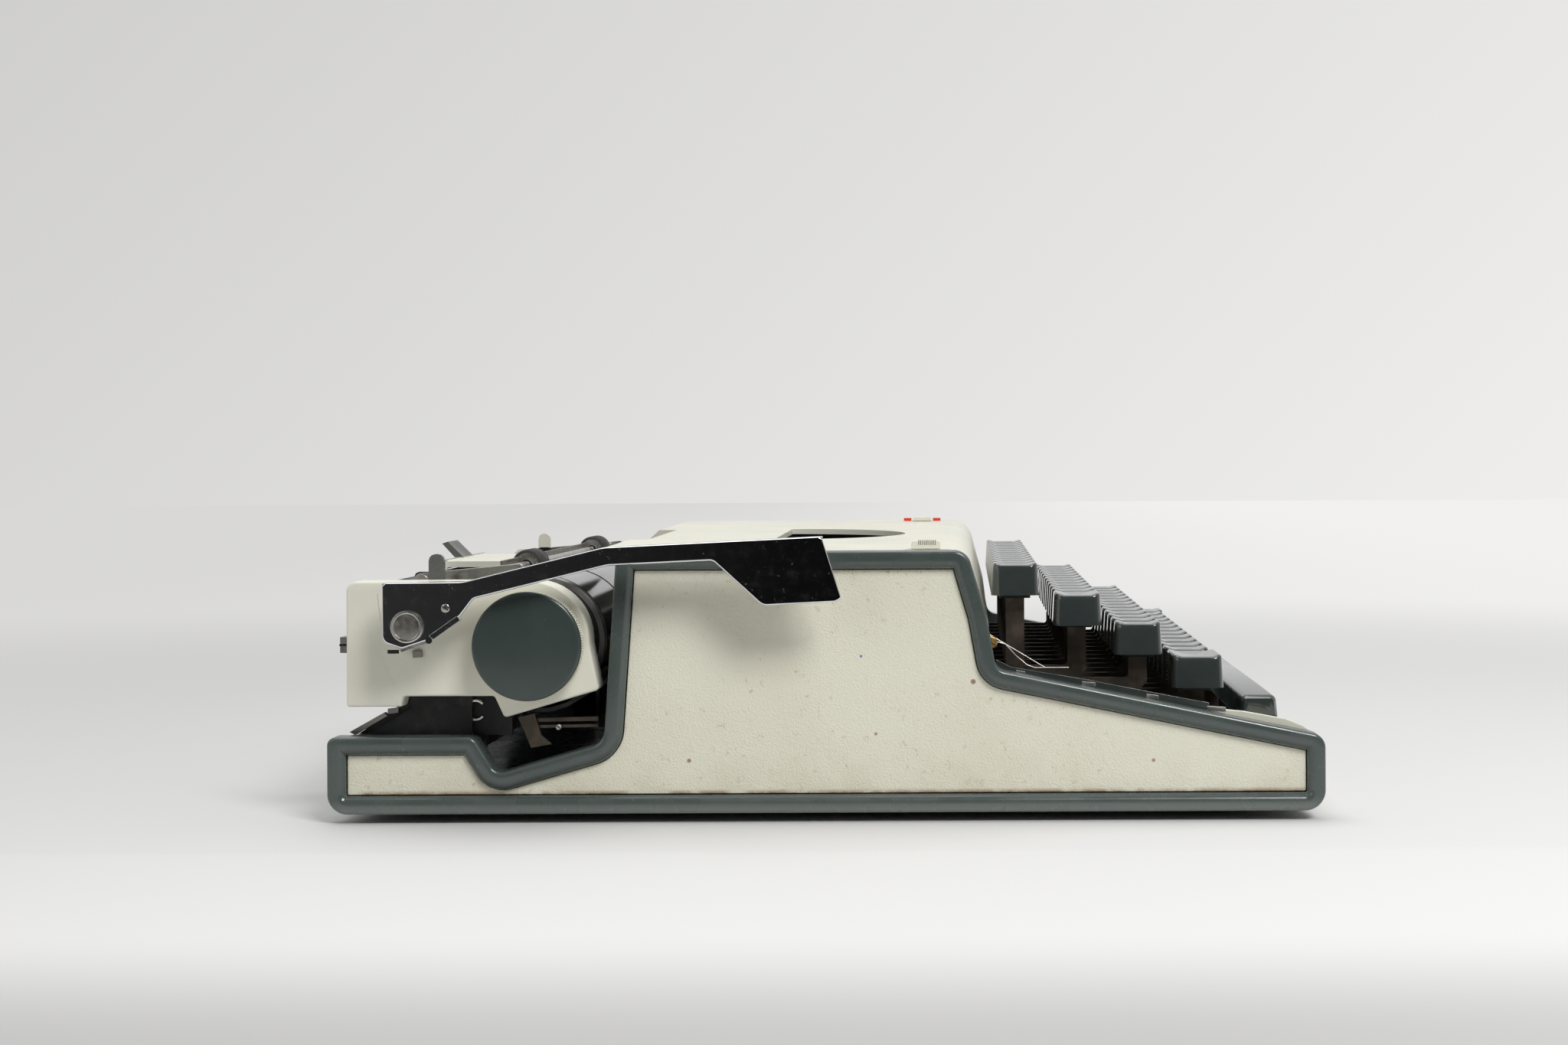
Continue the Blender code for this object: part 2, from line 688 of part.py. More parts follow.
def make_chassis():
    hinge_y, hinge_z = hinge_axis()
    base = floor_top + CHASSIS_CLEARANCE
    rear = upright_top_y - CHASSIS_BAR_DEPTH / 2
    front = LEVER_KNEE_Y
    bracket_front = SPACE_AXIS_Y - 2 * SPACE_ARM_HEIGHT
    bracket_top = SPACE_AXIS_Z + 2 * SPACE_ARM_HEIGHT
    plate_corners = [
        (bracket_front, base, SPACE_BRACKET_ROUND),
        (rear, base, CASING_CORNER_RADIUS),
        (rear, hinge_z - 2 * HINGE_EAR_RADIUS, HINGE_EAR_RADIUS),
        (hinge_y + HINGE_EAR_RADIUS, hinge_z - HINGE_EAR_RADIUS, HINGE_EAR_RADIUS / 2),
        (hinge_y + HINGE_EAR_RADIUS, hinge_z + HINGE_EAR_RADIUS / 2, HINGE_EAR_RADIUS / 2),
        (hinge_y - HINGE_EAR_RADIUS, hinge_z + HINGE_EAR_RADIUS / 2, HINGE_EAR_RADIUS / 2),
        (SPOOL_Y + SPOOL_SHELF_DEPTH / 2, SPOOL_SHELF_HEIGHT + SPOOL_HEIGHT, HINGE_EAR_RADIUS),
        (SPOOL_Y - SPOOL_SHELF_DEPTH / 2, SPOOL_SHELF_HEIGHT + SPOOL_HEIGHT, CASING_CORNER_RADIUS),
        (front, FIRST_ROW_ARM_TOP, CASING_CORNER_RADIUS),
        (bracket_front, bracket_top, SPACE_BRACKET_ROUND),
    ]
    inner = chassis_inner
    body = box(
        "main_chassis",
        (-inner - CHASSIS_PLATE / 2, SEGMENT_Y - SEGMENT_BAR_DEPTH / 2, base + FIT_GAP),
        (inner + CHASSIS_PLATE / 2, SEGMENT_Y + SEGMENT_BAR_DEPTH / 2, base + SEGMENT_BAR_HEIGHT),
        black_steel(),
    )
    front_bar = box(
        "front_bar",
        (-inner - CHASSIS_PLATE / 2, front + CHASSIS_BAR_DEPTH, base + FIT_GAP),
        (inner + CHASSIS_PLATE / 2, front + 2 * CHASSIS_BAR_DEPTH, base + CHASSIS_BAR_HEIGHT),
        black_steel(),
    )
    pieces = [front_bar]
    for side in (-1, 1):
        plate_outline = rounded(plate_corners, steps=PLATE_CORNER_STEPS)
        plate = prism("plate", plate_outline, side * inner, side * CHASSIS_HALF_WIDTH, black_steel())
        shelf = box(
            "shelf",
            (
                min(side * (SPOOL_X - SPOOL_RADIUS), side * (inner + CHASSIS_PLATE / 2)),
                SPOOL_Y - SPOOL_SHELF_DEPTH / 2,
                SPOOL_SHELF_HEIGHT,
            ),
            (
                max(side * (SPOOL_X - SPOOL_RADIUS), side * (inner + CHASSIS_PLATE / 2)),
                SPOOL_Y + SPOOL_SHELF_DEPTH / 2,
                SPOOL_SHELF_HEIGHT + SPOOL_SHELF_THICKNESS,
            ),
            black_steel(),
        )
        post_profile = [
            (SPOOL_SHELF_HEIGHT + SPOOL_SHELF_THICKNESS / 2, SPOOL_POST_RADIUS),
            (SPOOL_SHELF_HEIGHT + SPOOL_SHELF_THICKNESS + SPOOL_HEIGHT, SPOOL_POST_RADIUS),
        ]
        post = turned_z("post", post_profile, side * SPOOL_X, SPOOL_Y, black_steel(), SMALL_ROUND_SIDES)
        pin = rod(
            "pin",
            side * (inner + CHASSIS_PLATE / 2),
            side * (INNER_HALF - COVER_SIDE_GAP),
            hinge_y,
            hinge_z,
            HINGE_PIN_RADIUS,
            black_steel(),
        )
        pieces += [plate, shelf, post, pin]
    join(body, *pieces)


def end_cover_corners():
    unit = END_COVER_HEIGHT
    return [
        (PLATEN_Y + y_share * END_COVER_LENGTH, PLATEN_Z + z_share * END_COVER_HEIGHT, radius_share * unit)
        for y_share, z_share, radius_share in END_COVER_shares
    ]


def make_end_covers():
    for side, label in ((-1, "left"), (1, "right")):
        outline = rounded(end_cover_corners(), steps=END_COVER_STEPS)
        inner = side * end_cover_inner
        edge = side * (CARRIAGE_HALF_WIDTH - FRAME_EDGE_ROUND)
        face_outline = rounded(end_cover_corners(), FRAME_EDGE_ROUND, END_COVER_STEPS)
        face = side * CARRIAGE_HALF_WIDTH
        loops = [across(outline, inner), across(outline, edge), across(face_outline, face)]
        cover = loft(f"{label}_end_cover", loops, cream_plastic())
        hole = rod(
            "hole",
            inner - side * CUT_OVERRUN,
            side * (CARRIAGE_HALF_WIDTH + CUT_OVERRUN),
            PLATEN_Y,
            PLATEN_Z,
            PLATEN_SHAFT_RADIUS + END_COVER_HOLE_GAP,
            cream_plastic(),
            ROUND_SIDES // 2,
        )
        cut(cover, hole)


def rail_top():
    return end_cover_corners()[6][1] - RAIL_TOP_GAP


def make_carriage_rail():
    corners = end_cover_corners()
    top = rail_top()
    front = PLATEN_Y + PLATEN_RADIUS
    step_y = corners[7][0] - 2 * RAIL_TOP_GAP
    back = corners[1][0] - CASING_CORNER_RADIUS
    outline = [
        (front, RAIL_BOTTOM_Z),
        (back, RAIL_BOTTOM_Z),
        (back, deck_top + RAIL_TOP_GAP),
        (step_y, corners[0][1] - 2 * RAIL_TOP_GAP),
        (step_y, top),
        (front, top),
    ]
    rail = prism("carriage_rail", outline, -INNER_HALF + FIT_GAP, INNER_HALF - FIT_GAP, black_steel())
    for side in (-1, 1):
        post_x = side * (INNER_HALF - 2 * RAIL_POST_WIDTH)
        post = box(
            "post",
            (post_x - RAIL_POST_WIDTH / 2, front, floor_top + FIT_GAP),
            (post_x + RAIL_POST_WIDTH / 2, front + RAIL_POST_WIDTH, RAIL_BOTTOM_Z + FIT_GAP),
            black_steel(),
        )
        join(rail, post)


def carriage_floor_z():
    return rail_top() + RAIL_TOP_GAP


def make_carriage_frame():
    radius = PLATEN_RADIUS + PAN_GAP
    floor_z = carriage_floor_z()
    back = PLATEN_Y + MARGIN_ROD_BACK - MARGIN_STOP_SIZE / 2 - CARRIAGE_SHEET - FIT_GAP
    pan_start = math.radians(PAN_START_DEG)
    pan_end = 2 * math.pi + math.asin((floor_z + CARRIAGE_SHEET - PLATEN_Z) / radius)
    path = []
    for k in range(PAN_STEPS + 1):
        turn = pan_start + (pan_end - pan_start) * k / PAN_STEPS
        path.append((PLATEN_Y + radius * math.cos(turn), PLATEN_Z + radius * math.sin(turn)))
    path += [(back, floor_z + CARRIAGE_SHEET), (back, PLATEN_Z)]
    outline = strip(list(reversed(path)), CARRIAGE_SHEET)
    half = end_cover_inner - FIT_GAP
    prism("carriage_frame", outline, -half, half, black_steel())


def make_platen():
    half = end_cover_inner - PLATEN_END_GAP
    bore = PLATEN_SHAFT_RADIUS + PLATEN_BORE_GAP
    tube("platen", -half, half, PLATEN_Y, PLATEN_Z, PLATEN_RADIUS, bore, platen_rubber(), PLATEN_SIDES)
    shaft = rod(
        "platen_shaft",
        -CARRIAGE_HALF_WIDTH - KNOB_BORE_DEPTH,
        CARRIAGE_HALF_WIDTH + KNOB_BORE_DEPTH,
        PLATEN_Y,
        PLATEN_Z,
        PLATEN_SHAFT_RADIUS,
        bright_steel(),
        SHAFT_SIDES,
    )
    teeth = []
    for k in range(2 * RATCHET_TEETH):
        turn = math.pi * k / RATCHET_TEETH
        reach = RATCHET_RADIUS - RATCHET_TOOTH * (k % 2)
        teeth.append((PLATEN_Y + reach * math.cos(turn), PLATEN_Z + reach * math.sin(turn)))
    ratchet_x = -half - RATCHET_OFFSET
    join(shaft, prism("ratchet", teeth, ratchet_x - RATCHET_WIDTH, ratchet_x, bright_steel()))
    set_origin(shaft, (0.0, PLATEN_Y, PLATEN_Z))
    for side, label in ((-1, "left"), (1, "right")):
        start = side * (CARRIAGE_HALF_WIDTH + KNOB_GAP)
        end = side * (CARRIAGE_HALF_WIDTH + KNOB_GAP + KNOB_WIDTH)
        if side > 0:
            end = OBJECT_HALF_WIDTH
        bore_end = side * (CARRIAGE_HALF_WIDTH + KNOB_BORE_DEPTH + FIT_GAP)
        profile = [
            (bore_end, PLATEN_SHAFT_RADIUS + FIT_GAP),
            (start, PLATEN_SHAFT_RADIUS + FIT_GAP),
            (start, KNOB_RADIUS - KNOB_CHAMFER),
            (start + side * KNOB_CHAMFER, KNOB_RADIUS),
            (end - side * KNOB_CHAMFER, KNOB_RADIUS),
            (end, KNOB_RADIUS - KNOB_CHAMFER),
        ]
        knob = turned_x(f"{label}_platen_knob", profile, PLATEN_Y, PLATEN_Z, key_plastic(), KNOB_SIDES)
        set_origin(knob, (start, PLATEN_Y, PLATEN_Z))


def bail_pivot():
    return PLATEN_Y + BAIL_PIVOT_BACK, PLATEN_Z + BAIL_PIVOT_UP


def roller_centre():
    reach = PLATEN_RADIUS + BAIL_ROLLER_RADIUS + BAIL_ROLLER_GAP
    turn = math.radians(BAIL_ROLLER_ANGLE_DEG)
    return PLATEN_Y + reach * math.cos(turn), PLATEN_Z + reach * math.sin(turn)


def make_paper_table():
    pivot_y, pivot_z = bail_pivot()
    reach = PLATEN_RADIUS + TABLE_PLATEN_GAP
    turn = math.radians(TABLE_FRONT_DEG)
    path = [
        (pivot_y + SUPPORT_DEPTH / 2, pivot_z),
        (pivot_y, pivot_z - SUPPORT_THICKNESS),
        (PLATEN_Y + reach + SUPPORT_THICKNESS, PLATEN_Z + SUPPORT_THICKNESS),
        (PLATEN_Y + reach * math.cos(turn), PLATEN_Z + reach * math.sin(turn)),
    ]
    outline = strip(path, TABLE_SHEET)
    table = prism("paper_table", outline, -TABLE_HALF_WIDTH, TABLE_HALF_WIDTH, black_steel())
    foot_y = PLATEN_Y + reach + 2 * SUPPORT_THICKNESS
    for side in (-1, 1):
        ear_corners = [
            (pivot_y - 2 * BAIL_BOSS_RADIUS, pivot_z - 2 * BAIL_BOSS_RADIUS, FIT_GAP),
            (pivot_y + BAIL_BOSS_RADIUS, pivot_z - 2 * BAIL_BOSS_RADIUS, FIT_GAP),
            (pivot_y + BAIL_BOSS_RADIUS, pivot_z + BAIL_BOSS_RADIUS, BAIL_BOSS_RADIUS / 2),
            (pivot_y - BAIL_BOSS_RADIUS, pivot_z + BAIL_BOSS_RADIUS, BAIL_BOSS_RADIUS / 2),
        ]
        outer = side * TABLE_HALF_WIDTH
        ear_outline = rounded(ear_corners, steps=PLATE_CORNER_STEPS)
        ear = prism("ear", ear_outline, outer - side * TAB_THICKNESS, outer, black_steel())
        leg = box(
            "leg",
            (
                outer - TAB_THICKNESS * (1 + side),
                foot_y,
                carriage_floor_z() + CARRIAGE_SHEET + FIT_GAP,
            ),
            (
                outer + TAB_THICKNESS * (1 - side),
                foot_y + TAB_WIDTH,
                PLATEN_Z + 2 * TAB_WIDTH,
            ),
            black_steel(),
        )
        join(table, ear, leg)


def make_paper_support():
    pivot_y, pivot_z = bail_pivot()
    hinge_y = pivot_y + SUPPORT_DEPTH / 2
    hinge_z = pivot_z + SUPPORT_HINGE_RADIUS + FIT_GAP
    plate = box(
        "paper_support",
        (-SUPPORT_HALF_WIDTH, hinge_y - SUPPORT_DEPTH, hinge_z - SUPPORT_THICKNESS / 2),
        (SUPPORT_HALF_WIDTH, hinge_y, hinge_z + SUPPORT_THICKNESS / 2),
        cream_plastic(),
    )
    barrel = rod(
        "barrel",
        -SUPPORT_HALF_WIDTH,
        SUPPORT_HALF_WIDTH,
        hinge_y,
        hinge_z,
        SUPPORT_HINGE_RADIUS,
        cream_plastic(),
    )
    root = SUPPORT_THICKNESS / 3
    tab_y = hinge_y + SUPPORT_TAB_REACH
    tab_z = hinge_z + SUPPORT_TAB_REACH
    tab_outline = [
        (hinge_y, hinge_z - root),
        (tab_y, tab_z),
        (tab_y - SUPPORT_THICKNESS, tab_z + root),
        (hinge_y - SUPPORT_THICKNESS, hinge_z + root),
    ]
    tab = prism("tab", tab_outline, -SUPPORT_TAB_HALF_WIDTH, SUPPORT_TAB_HALF_WIDTH, cream_plastic())
    join(plate, barrel, tab)
    set_origin(plate, (0.0, hinge_y, hinge_z))


def make_paper_bail():
    pivot_y, pivot_z = bail_pivot()
    rod_y, rod_z = roller_centre()
    way = Vector((rod_y - pivot_y, rod_z - pivot_z)).normalized()
    side_way = Vector((-way.y, way.x)) * (BAIL_ARM_HEIGHT / 2)
    start = Vector((pivot_y, pivot_z))
    tip = Vector((rod_y, rod_z)) + way * BAIL_TIP_REACH
    outline = [start + side_way, start - side_way, tip - side_way / 2, tip + side_way]
    arm_inner = TABLE_HALF_WIDTH + BAIL_ARM_GAP
    arm_outer = arm_inner + BAIL_ARM_THICKNESS
    rod_end = arm_inner + BAIL_ARM_GAP
    bail = rod("paper_bail", -rod_end, rod_end, rod_y, rod_z, BAIL_ROD_RADIUS, bright_steel())
    for side in (-1, 1):
        arm = prism("arm", outline, side * arm_inner, side * arm_outer, bright_steel())
        boss_end = side * (arm_outer + BAIL_ARM_GAP)
        boss = rod(
            "boss", side * arm_inner, boss_end, pivot_y, pivot_z, BAIL_BOSS_RADIUS, bright_steel()
        )
        join(bail, arm, boss)
    set_origin(bail, (0.0, pivot_y, pivot_z))
    for side, label in ((-1, "left"), (1, "right")):
        centre = side * BAIL_ROLLER_X
        roller = tube(
            f"bail_roller_{label}",
            centre - BAIL_ROLLER_LENGTH / 2,
            centre + BAIL_ROLLER_LENGTH / 2,
            rod_y,
            rod_z,
            BAIL_ROLLER_RADIUS,
            BAIL_ROD_RADIUS + BAIL_ROLLER_GAP,
            rubber(),
            MEDIUM_ROUND_SIDES,
        )
        set_origin(roller, (centre, rod_y, rod_z))


def make_margin_stops():
    rod_y = PLATEN_Y + MARGIN_ROD_BACK
    half = end_cover_inner - FIT_GAP
    rod("margin_rail", -half, half, rod_y, MARGIN_ROD_Z, MARGIN_ROD_RADIUS, bright_steel())
    for side, label in ((-1, "left"), (1, "right")):
        centre = side * MARGIN_STOP_X
        size = MARGIN_STOP_SIZE / 2
        stop = box(
            f"margin_stop_{label}",
            (centre - MARGIN_STOP_LENGTH / 2, rod_y - size, MARGIN_ROD_Z - size),
            (centre + MARGIN_STOP_LENGTH / 2, rod_y + size, MARGIN_ROD_Z + size + MARGIN_STOP_TAB),
            key_plastic(),
        )
        bore = rod(
            "bore",
            centre - MARGIN_STOP_LENGTH,
            centre + MARGIN_STOP_LENGTH,
            rod_y,
            MARGIN_ROD_Z,
            MARGIN_ROD_RADIUS + FIT_GAP,
            key_plastic(),
        )
        cut(stop, bore)
        set_origin(stop, (centre, rod_y, MARGIN_ROD_Z))


def tab_lever(name, x_from, x_to, stud_to, y, pivot_z, top, mat):
    """A flat upright finger lever with a rounded top, on a stud along X."""
    half = TAB_WIDTH / 2
    radius = half - FIT_GAP
    corners = [
        (y - half, pivot_z - half, radius),
        (y + half, pivot_z - half, radius),
        (y + half, top, radius),
        (y - half, top, radius),
    ]
    lever = prism(name, rounded(corners), x_from, x_to, mat)
    stud = rod("stud", (x_from + x_to) / 2, stud_to, y, pivot_z, STUD_RADIUS, mat)
    join(lever, stud)
    return set_origin(lever, (x_from, y, pivot_z))


def make_carriage_levers():
    for side, label, top in ((-1, "left", LEFT_RELEASE_TOP), (1, "right", RIGHT_RELEASE_TOP)):
        outer = side * (end_cover_inner - TAB_THICKNESS)
        tab_lever(
            f"carriage_release_{label}",
            outer - side * TAB_THICKNESS,
            outer,
            side * (end_cover_inner - FIT_GAP),
            PLATEN_Y + RELEASE_BACK,
            RELEASE_PIVOT_Z,
            top,
            key_plastic(),
        )
    tab_lever(
        "paper_release_lever",
        PAPER_RELEASE_X,
        PAPER_RELEASE_X + TAB_THICKNESS,
        end_cover_inner - FIT_GAP,
        PLATEN_Y + PAPER_RELEASE_BACK,
        RELEASE_PIVOT_Z,
        PAPER_RELEASE_TOP,
        cream_plastic(),
    )


def lever_pivot():
    return PLATEN_Y + LEVER_PIVOT_BACK, PLATEN_Z + LEVER_PIVOT_UP


def make_return_lever():
    pivot_y, pivot_z = lever_pivot()
    outer = -(OBJECT_HALF_WIDTH - PIVOT_HEAD_THICKNESS - FIT_GAP)
    inner = outer + LEVER_SHEET
    corners = [
        (pivot_y + y_share * LEVER_LENGTH, pivot_z + z_share * LEVER_LENGTH, radius_share * LEVER_LENGTH)
        for y_share, z_share, radius_share in LEVER_shares
    ]
    lever = prism("return_lever", rounded(corners), outer, inner, chrome())
    path = [(y, z) for y, z, _radius in corners[LEVER_TOP_CORNERS]]
    flange = prism("flange", strip(path, -LEVER_SHEET), outer + FIT_GAP, outer + LEVER_FLANGE, chrome())
    join(lever, flange)
    hole = rod(
        "hole",
        outer - CUT_OVERRUN,
        inner + CUT_OVERRUN,
        pivot_y,
        pivot_z,
        PIVOT_STUD_RADIUS + FIT_GAP,
        chrome(),
        MEDIUM_ROUND_SIDES,
    )
    cut(lever, hole)
    set_origin(lever, (outer, pivot_y, pivot_z))
    stud_profile = [
        (-CARRIAGE_HALF_WIDTH - FIT_GAP, PIVOT_HEAD_RADIUS),
        (inner + FIT_GAP, PIVOT_HEAD_RADIUS),
        (inner + FIT_GAP, PIVOT_STUD_RADIUS),
        (outer - FIT_GAP, PIVOT_STUD_RADIUS),
        (outer - FIT_GAP, PIVOT_HEAD_RADIUS),
        (-OBJECT_HALF_WIDTH, PIVOT_HEAD_RADIUS),
    ]
    turned_x("lever_pivot", stud_profile, pivot_y, pivot_z, bright_steel())


def make_ribbon_cover():
    half = INNER_HALF - COVER_SIDE_GAP
    corners = [
        (-COVER_FRONT, COVER_FRONT_BOTTOM, FIT_GAP),
        (-COVER_FRONT + COVER_FRONT_LEAN, COVER_TOP, COVER_FRONT_RADIUS),
        (COVER_REAR - COVER_REAR_RUN, COVER_TOP, COVER_SHEET),
        (COVER_REAR, COVER_TOP - COVER_REAR_DROP, FIT_GAP),
    ]
    inner = [
        (COVER_REAR - COVER_SHEET / 2, COVER_TOP - COVER_REAR_DROP - COVER_SHEET / 2, FIT_GAP),
        (COVER_REAR - COVER_REAR_RUN - COVER_SHEET / 2, COVER_TOP - COVER_SHEET, FIT_GAP),
        (
            -COVER_FRONT + COVER_FRONT_LEAN + COVER_SHEET / 2,
            COVER_TOP - COVER_SHEET,
            COVER_FRONT_RADIUS - COVER_SHEET,
        ),
        (-COVER_FRONT + COVER_SHEET, COVER_FRONT_BOTTOM, FIT_GAP),
    ]
    cover = prism("ribbon_cover", rounded(corners + inner), -half, half, cream_plastic())
    hinge_y, hinge_z = hinge_axis()
    bore = HINGE_PIN_RADIUS + COVER_BORE_GAP
    for side, selector_y in ((-1, touch_selector_y), (1, ribbon_selector_y)):
        knuckle = rod(
            "knuckle",
            side * (CHASSIS_HALF_WIDTH + FIT_GAP),
            side * (half - FIT_GAP),
            hinge_y,
            hinge_z,
            COVER_KNUCKLE_RADIUS,
            cream_plastic(),
        )
        join(cover, knuckle)
        hole = rod(
            "hole",
            side * (CHASSIS_HALF_WIDTH - CUT_OVERRUN),
            side * (half + CUT_OVERRUN),
            hinge_y,
            hinge_z,
            bore,
            cream_plastic(),
        )
        cut(cover, hole)
        slot = box(
            "slot",
            (
                side * SELECTOR_X - SELECTOR_SLOT_WIDTH / 2,
                selector_y - SELECTOR_SLOT_LENGTH / 2,
                COVER_TOP - 2 * COVER_SHEET,
            ),
            (
                side * SELECTOR_X + SELECTOR_SLOT_WIDTH / 2,
                selector_y + SELECTOR_SLOT_LENGTH / 2,
                COVER_TOP + COVER_SHEET,
            ),
            cream_plastic(),
        )
        cut(cover, slot)
    cut(cover, basket_cutter())
    notch = box(
        "notch",
        (-VIEW_NOTCH_WIDTH / 2, COVER_REAR - VIEW_NOTCH_DEPTH, PLATEN_Z),
        (VIEW_NOTCH_WIDTH / 2, COVER_REAR + CUT_OVERRUN, COVER_TOP + CUT_OVERRUN),
        cream_plastic(),
    )
    cut(cover, notch)
    set_origin(cover, (0.0, hinge_y, hinge_z))


def basket_cutter():
    """Half disc that opens the cover over the typebars."""
    arc = []
    for k in range(BASKET_STEPS + 1):
        turn = math.pi + math.pi * k / BASKET_STEPS
        arc.append((BASKET_RADIUS * math.cos(turn), BASKET_REAR_Y + BASKET_RADIUS * math.sin(turn)))
    low = COVER_TOP - 2 * COVER_SHEET
    high = COVER_TOP + COVER_SHEET
    loops = [[Vector((x, y, z)) for x, y in arc] for z in (low, high)]
    return loft("basket", loops, cream_plastic())


def make_selectors():
    places = ((-1, "touch_selector", touch_selector_y), (1, "ribbon_selector", ribbon_selector_y))
    for side, name, middle_y in places:
        centre = side * SELECTOR_X
        stem_half = SELECTOR_SLOT_WIDTH / 2 - FIT_GAP
        cap = box(
            name,
            (centre - SELECTOR_CAP_WIDTH / 2, middle_y - SELECTOR_CAP_LENGTH / 2, COVER_TOP + FIT_GAP),
            (
                centre + SELECTOR_CAP_WIDTH / 2,
                middle_y + SELECTOR_CAP_LENGTH / 2,
                COVER_TOP + FIT_GAP + SELECTOR_CAP_HEIGHT,
            ),
            cream_plastic(),
        )
        stem = box(
            "stem",
            (centre - stem_half, middle_y - SELECTOR_LENGTH / 2, COVER_TOP - SELECTOR_STEM_DEPTH),
            (centre + stem_half, middle_y + SELECTOR_LENGTH / 2, COVER_TOP + SELECTOR_CAP_HEIGHT / 2),
            cream_plastic(),
        )
        join(cap, stem)
        set_origin(cap, (centre, middle_y, COVER_TOP))


def row_place(row):
    """Centre and top of a row of keys, and the top of its arms."""
    y = FIRST_ROW_Y - ROW_PLACE_shares[row] * KEYBOARD_REACH
    top = FIRST_ROW_TOP - ROW_HEIGHT_shares[row] * KEYBOARD_DROP
    arm_top = FIRST_ROW_ARM_TOP - ARM_HEIGHT_shares[row] * KEYBOARD_DROP
    return y, top, arm_top


def key_cap(x, row, width):
    """A tapered key top, dished from front to back."""
    y, top, _arm_top = row_place(row)
    bottom = top - KEY_HEIGHT
    base_y = KEY_DEPTH / 2
    top_y = base_y - KEY_TOP_TAPER
    outline_low = [(y - base_y, bottom), (y + base_y, bottom)]
    dish = []
    for k in range(KEY_DISH_STEPS + 1):
        place = 1 - 2 * k / KEY_DISH_STEPS
        dish.append((y + place * top_y, top - KEY_DISH * (1 - place * place)))
    base_x = width / 2
    top_x = base_x - KEY_TOP_TAPER
    bm = bmesh.new()
    sides = []
    for sign in (-1, 1):
        low = [bm.verts.new((x + sign * base_x, py, pz)) for py, pz in outline_low]
        high = [bm.verts.new((x + sign * top_x, py, pz)) for py, pz in dish]
        sides.append(low + high)
        bm.faces.new(low + high)
    left, right = sides
    count = len(left)
    for k in range(count):
        after = (k + 1) % count
        bm.faces.new((left[k], left[after], right[after], right[k]))
    return finish(bm, "cap", key_plastic())


def key_arm(x, row, hub=(FULCRUM_Y, FULCRUM_Z), rise=None):
    """The steel plate that carries a key: a stem and an arm back to the hub."""
    y, top, arm_top = row_place(row)
    half = LEVER_STEM_WIDTH / 2
    arm_bottom = arm_top - LEVER_ARM_HEIGHT
    upper = [(hub[0], hub[1] + LEVER_ARM_HEIGHT / 2)]
    lower = [(hub[0], hub[1] - LEVER_ARM_HEIGHT / 2)]
    if rise:
        upper.append((rise[0] + LEVER_ARM_HEIGHT / 2, rise[1] + LEVER_ARM_HEIGHT))
        lower.append((rise[0] - LEVER_ARM_HEIGHT / 2, rise[1]))
    knee = max(LEVER_KNEE_Y, y + LEVER_KNEE_BEHIND)
    upper += [
        (knee, arm_top),
        (y + half, arm_top),
        (y + half, top - KEY_HEIGHT + LEVER_STEM_SINK),
        (y - half, top - KEY_HEIGHT + LEVER_STEM_SINK),
        (y - half, arm_bottom + half),
        (y, arm_bottom),
        (knee, arm_bottom),
    ]
    outline = upper + list(reversed(lower))
    return prism("arm", outline, x - LEVER_PLATE / 2, x + LEVER_PLATE / 2, black_steel())


def hub_blank(x_from, x_to, name):
    return rod(name, x_from, x_to, FULCRUM_Y, FULCRUM_Z, LEVER_HUB_RADIUS, key_plastic())


def cut_bore(obj, x_from, x_to):
    """Opens the hub for the fulcrum rod."""
    bore = rod(
        "bore",
        x_from - CUT_OVERRUN,
        x_to + CUT_OVERRUN,
        FULCRUM_Y,
        FULCRUM_Z,
        FULCRUM_RADIUS + HUB_RUN_GAP,
        black_steel(),
    )
    return cut(obj, bore)


def key_column(name, rows_and_lanes):
    """Keys and arms of one column about X = 0, joined at one hub on the fulcrum rod."""
    lanes = [lane for _row, lane in rows_and_lanes]
    reach = LEVER_LANE / 2 - HUB_RUN_GAP
    start = min(lanes) * LEVER_LANE - reach
    end = max(lanes) * LEVER_LANE + reach
    column = hub_blank(start, end, name)
    for row, lane in rows_and_lanes:
        x = lane * LEVER_LANE
        join(column, key_arm(x, row), key_cap(x, row, KEY_WIDTH))
    return cut_bore(column, start, end)


def make_key_columns():
    rows = list(enumerate(ROW_LANES))
    first_x = -(KEY_COLUMNS - 1) / 2 * KEY_PITCH
    pattern = key_column("key_column_01", rows)
    set_origin(pattern, (0.0, FULCRUM_Y, FULCRUM_Z))
    pattern.location.x = first_x
    for k in range(1, KEY_COLUMNS - 1):
        column = bpy.data.objects.new(f"key_column_{k + 1:02d}", pattern.data)
        bpy.context.scene.collection.objects.link(column)
        column.location = pattern.location
        column.location.x = first_x + k * KEY_PITCH
    last = key_column(f"key_column_{KEY_COLUMNS:02d}", rows + [(2, 3)])
    set_origin(last, (0.0, FULCRUM_Y, FULCRUM_Z))
    last.location.x = first_x + (KEY_COLUMNS - 1) * KEY_PITCH


def single_key(name, lane_x, x_from, x_to, row):
    """A function key with its own arm and hub."""
    key = hub_blank(lane_x - SINGLE_HUB_WIDTH / 2, lane_x + SINGLE_HUB_WIDTH / 2, name)
    cap = key_cap((x_from + x_to) / 2, row, x_to - x_from)
    join(key, key_arm(lane_x, row), cap)
    cut_bore(key, lane_x - SINGLE_HUB_WIDTH / 2, lane_x + SINGLE_HUB_WIDTH / 2)
    return set_origin(key, (lane_x, FULCRUM_Y, FULCRUM_Z))


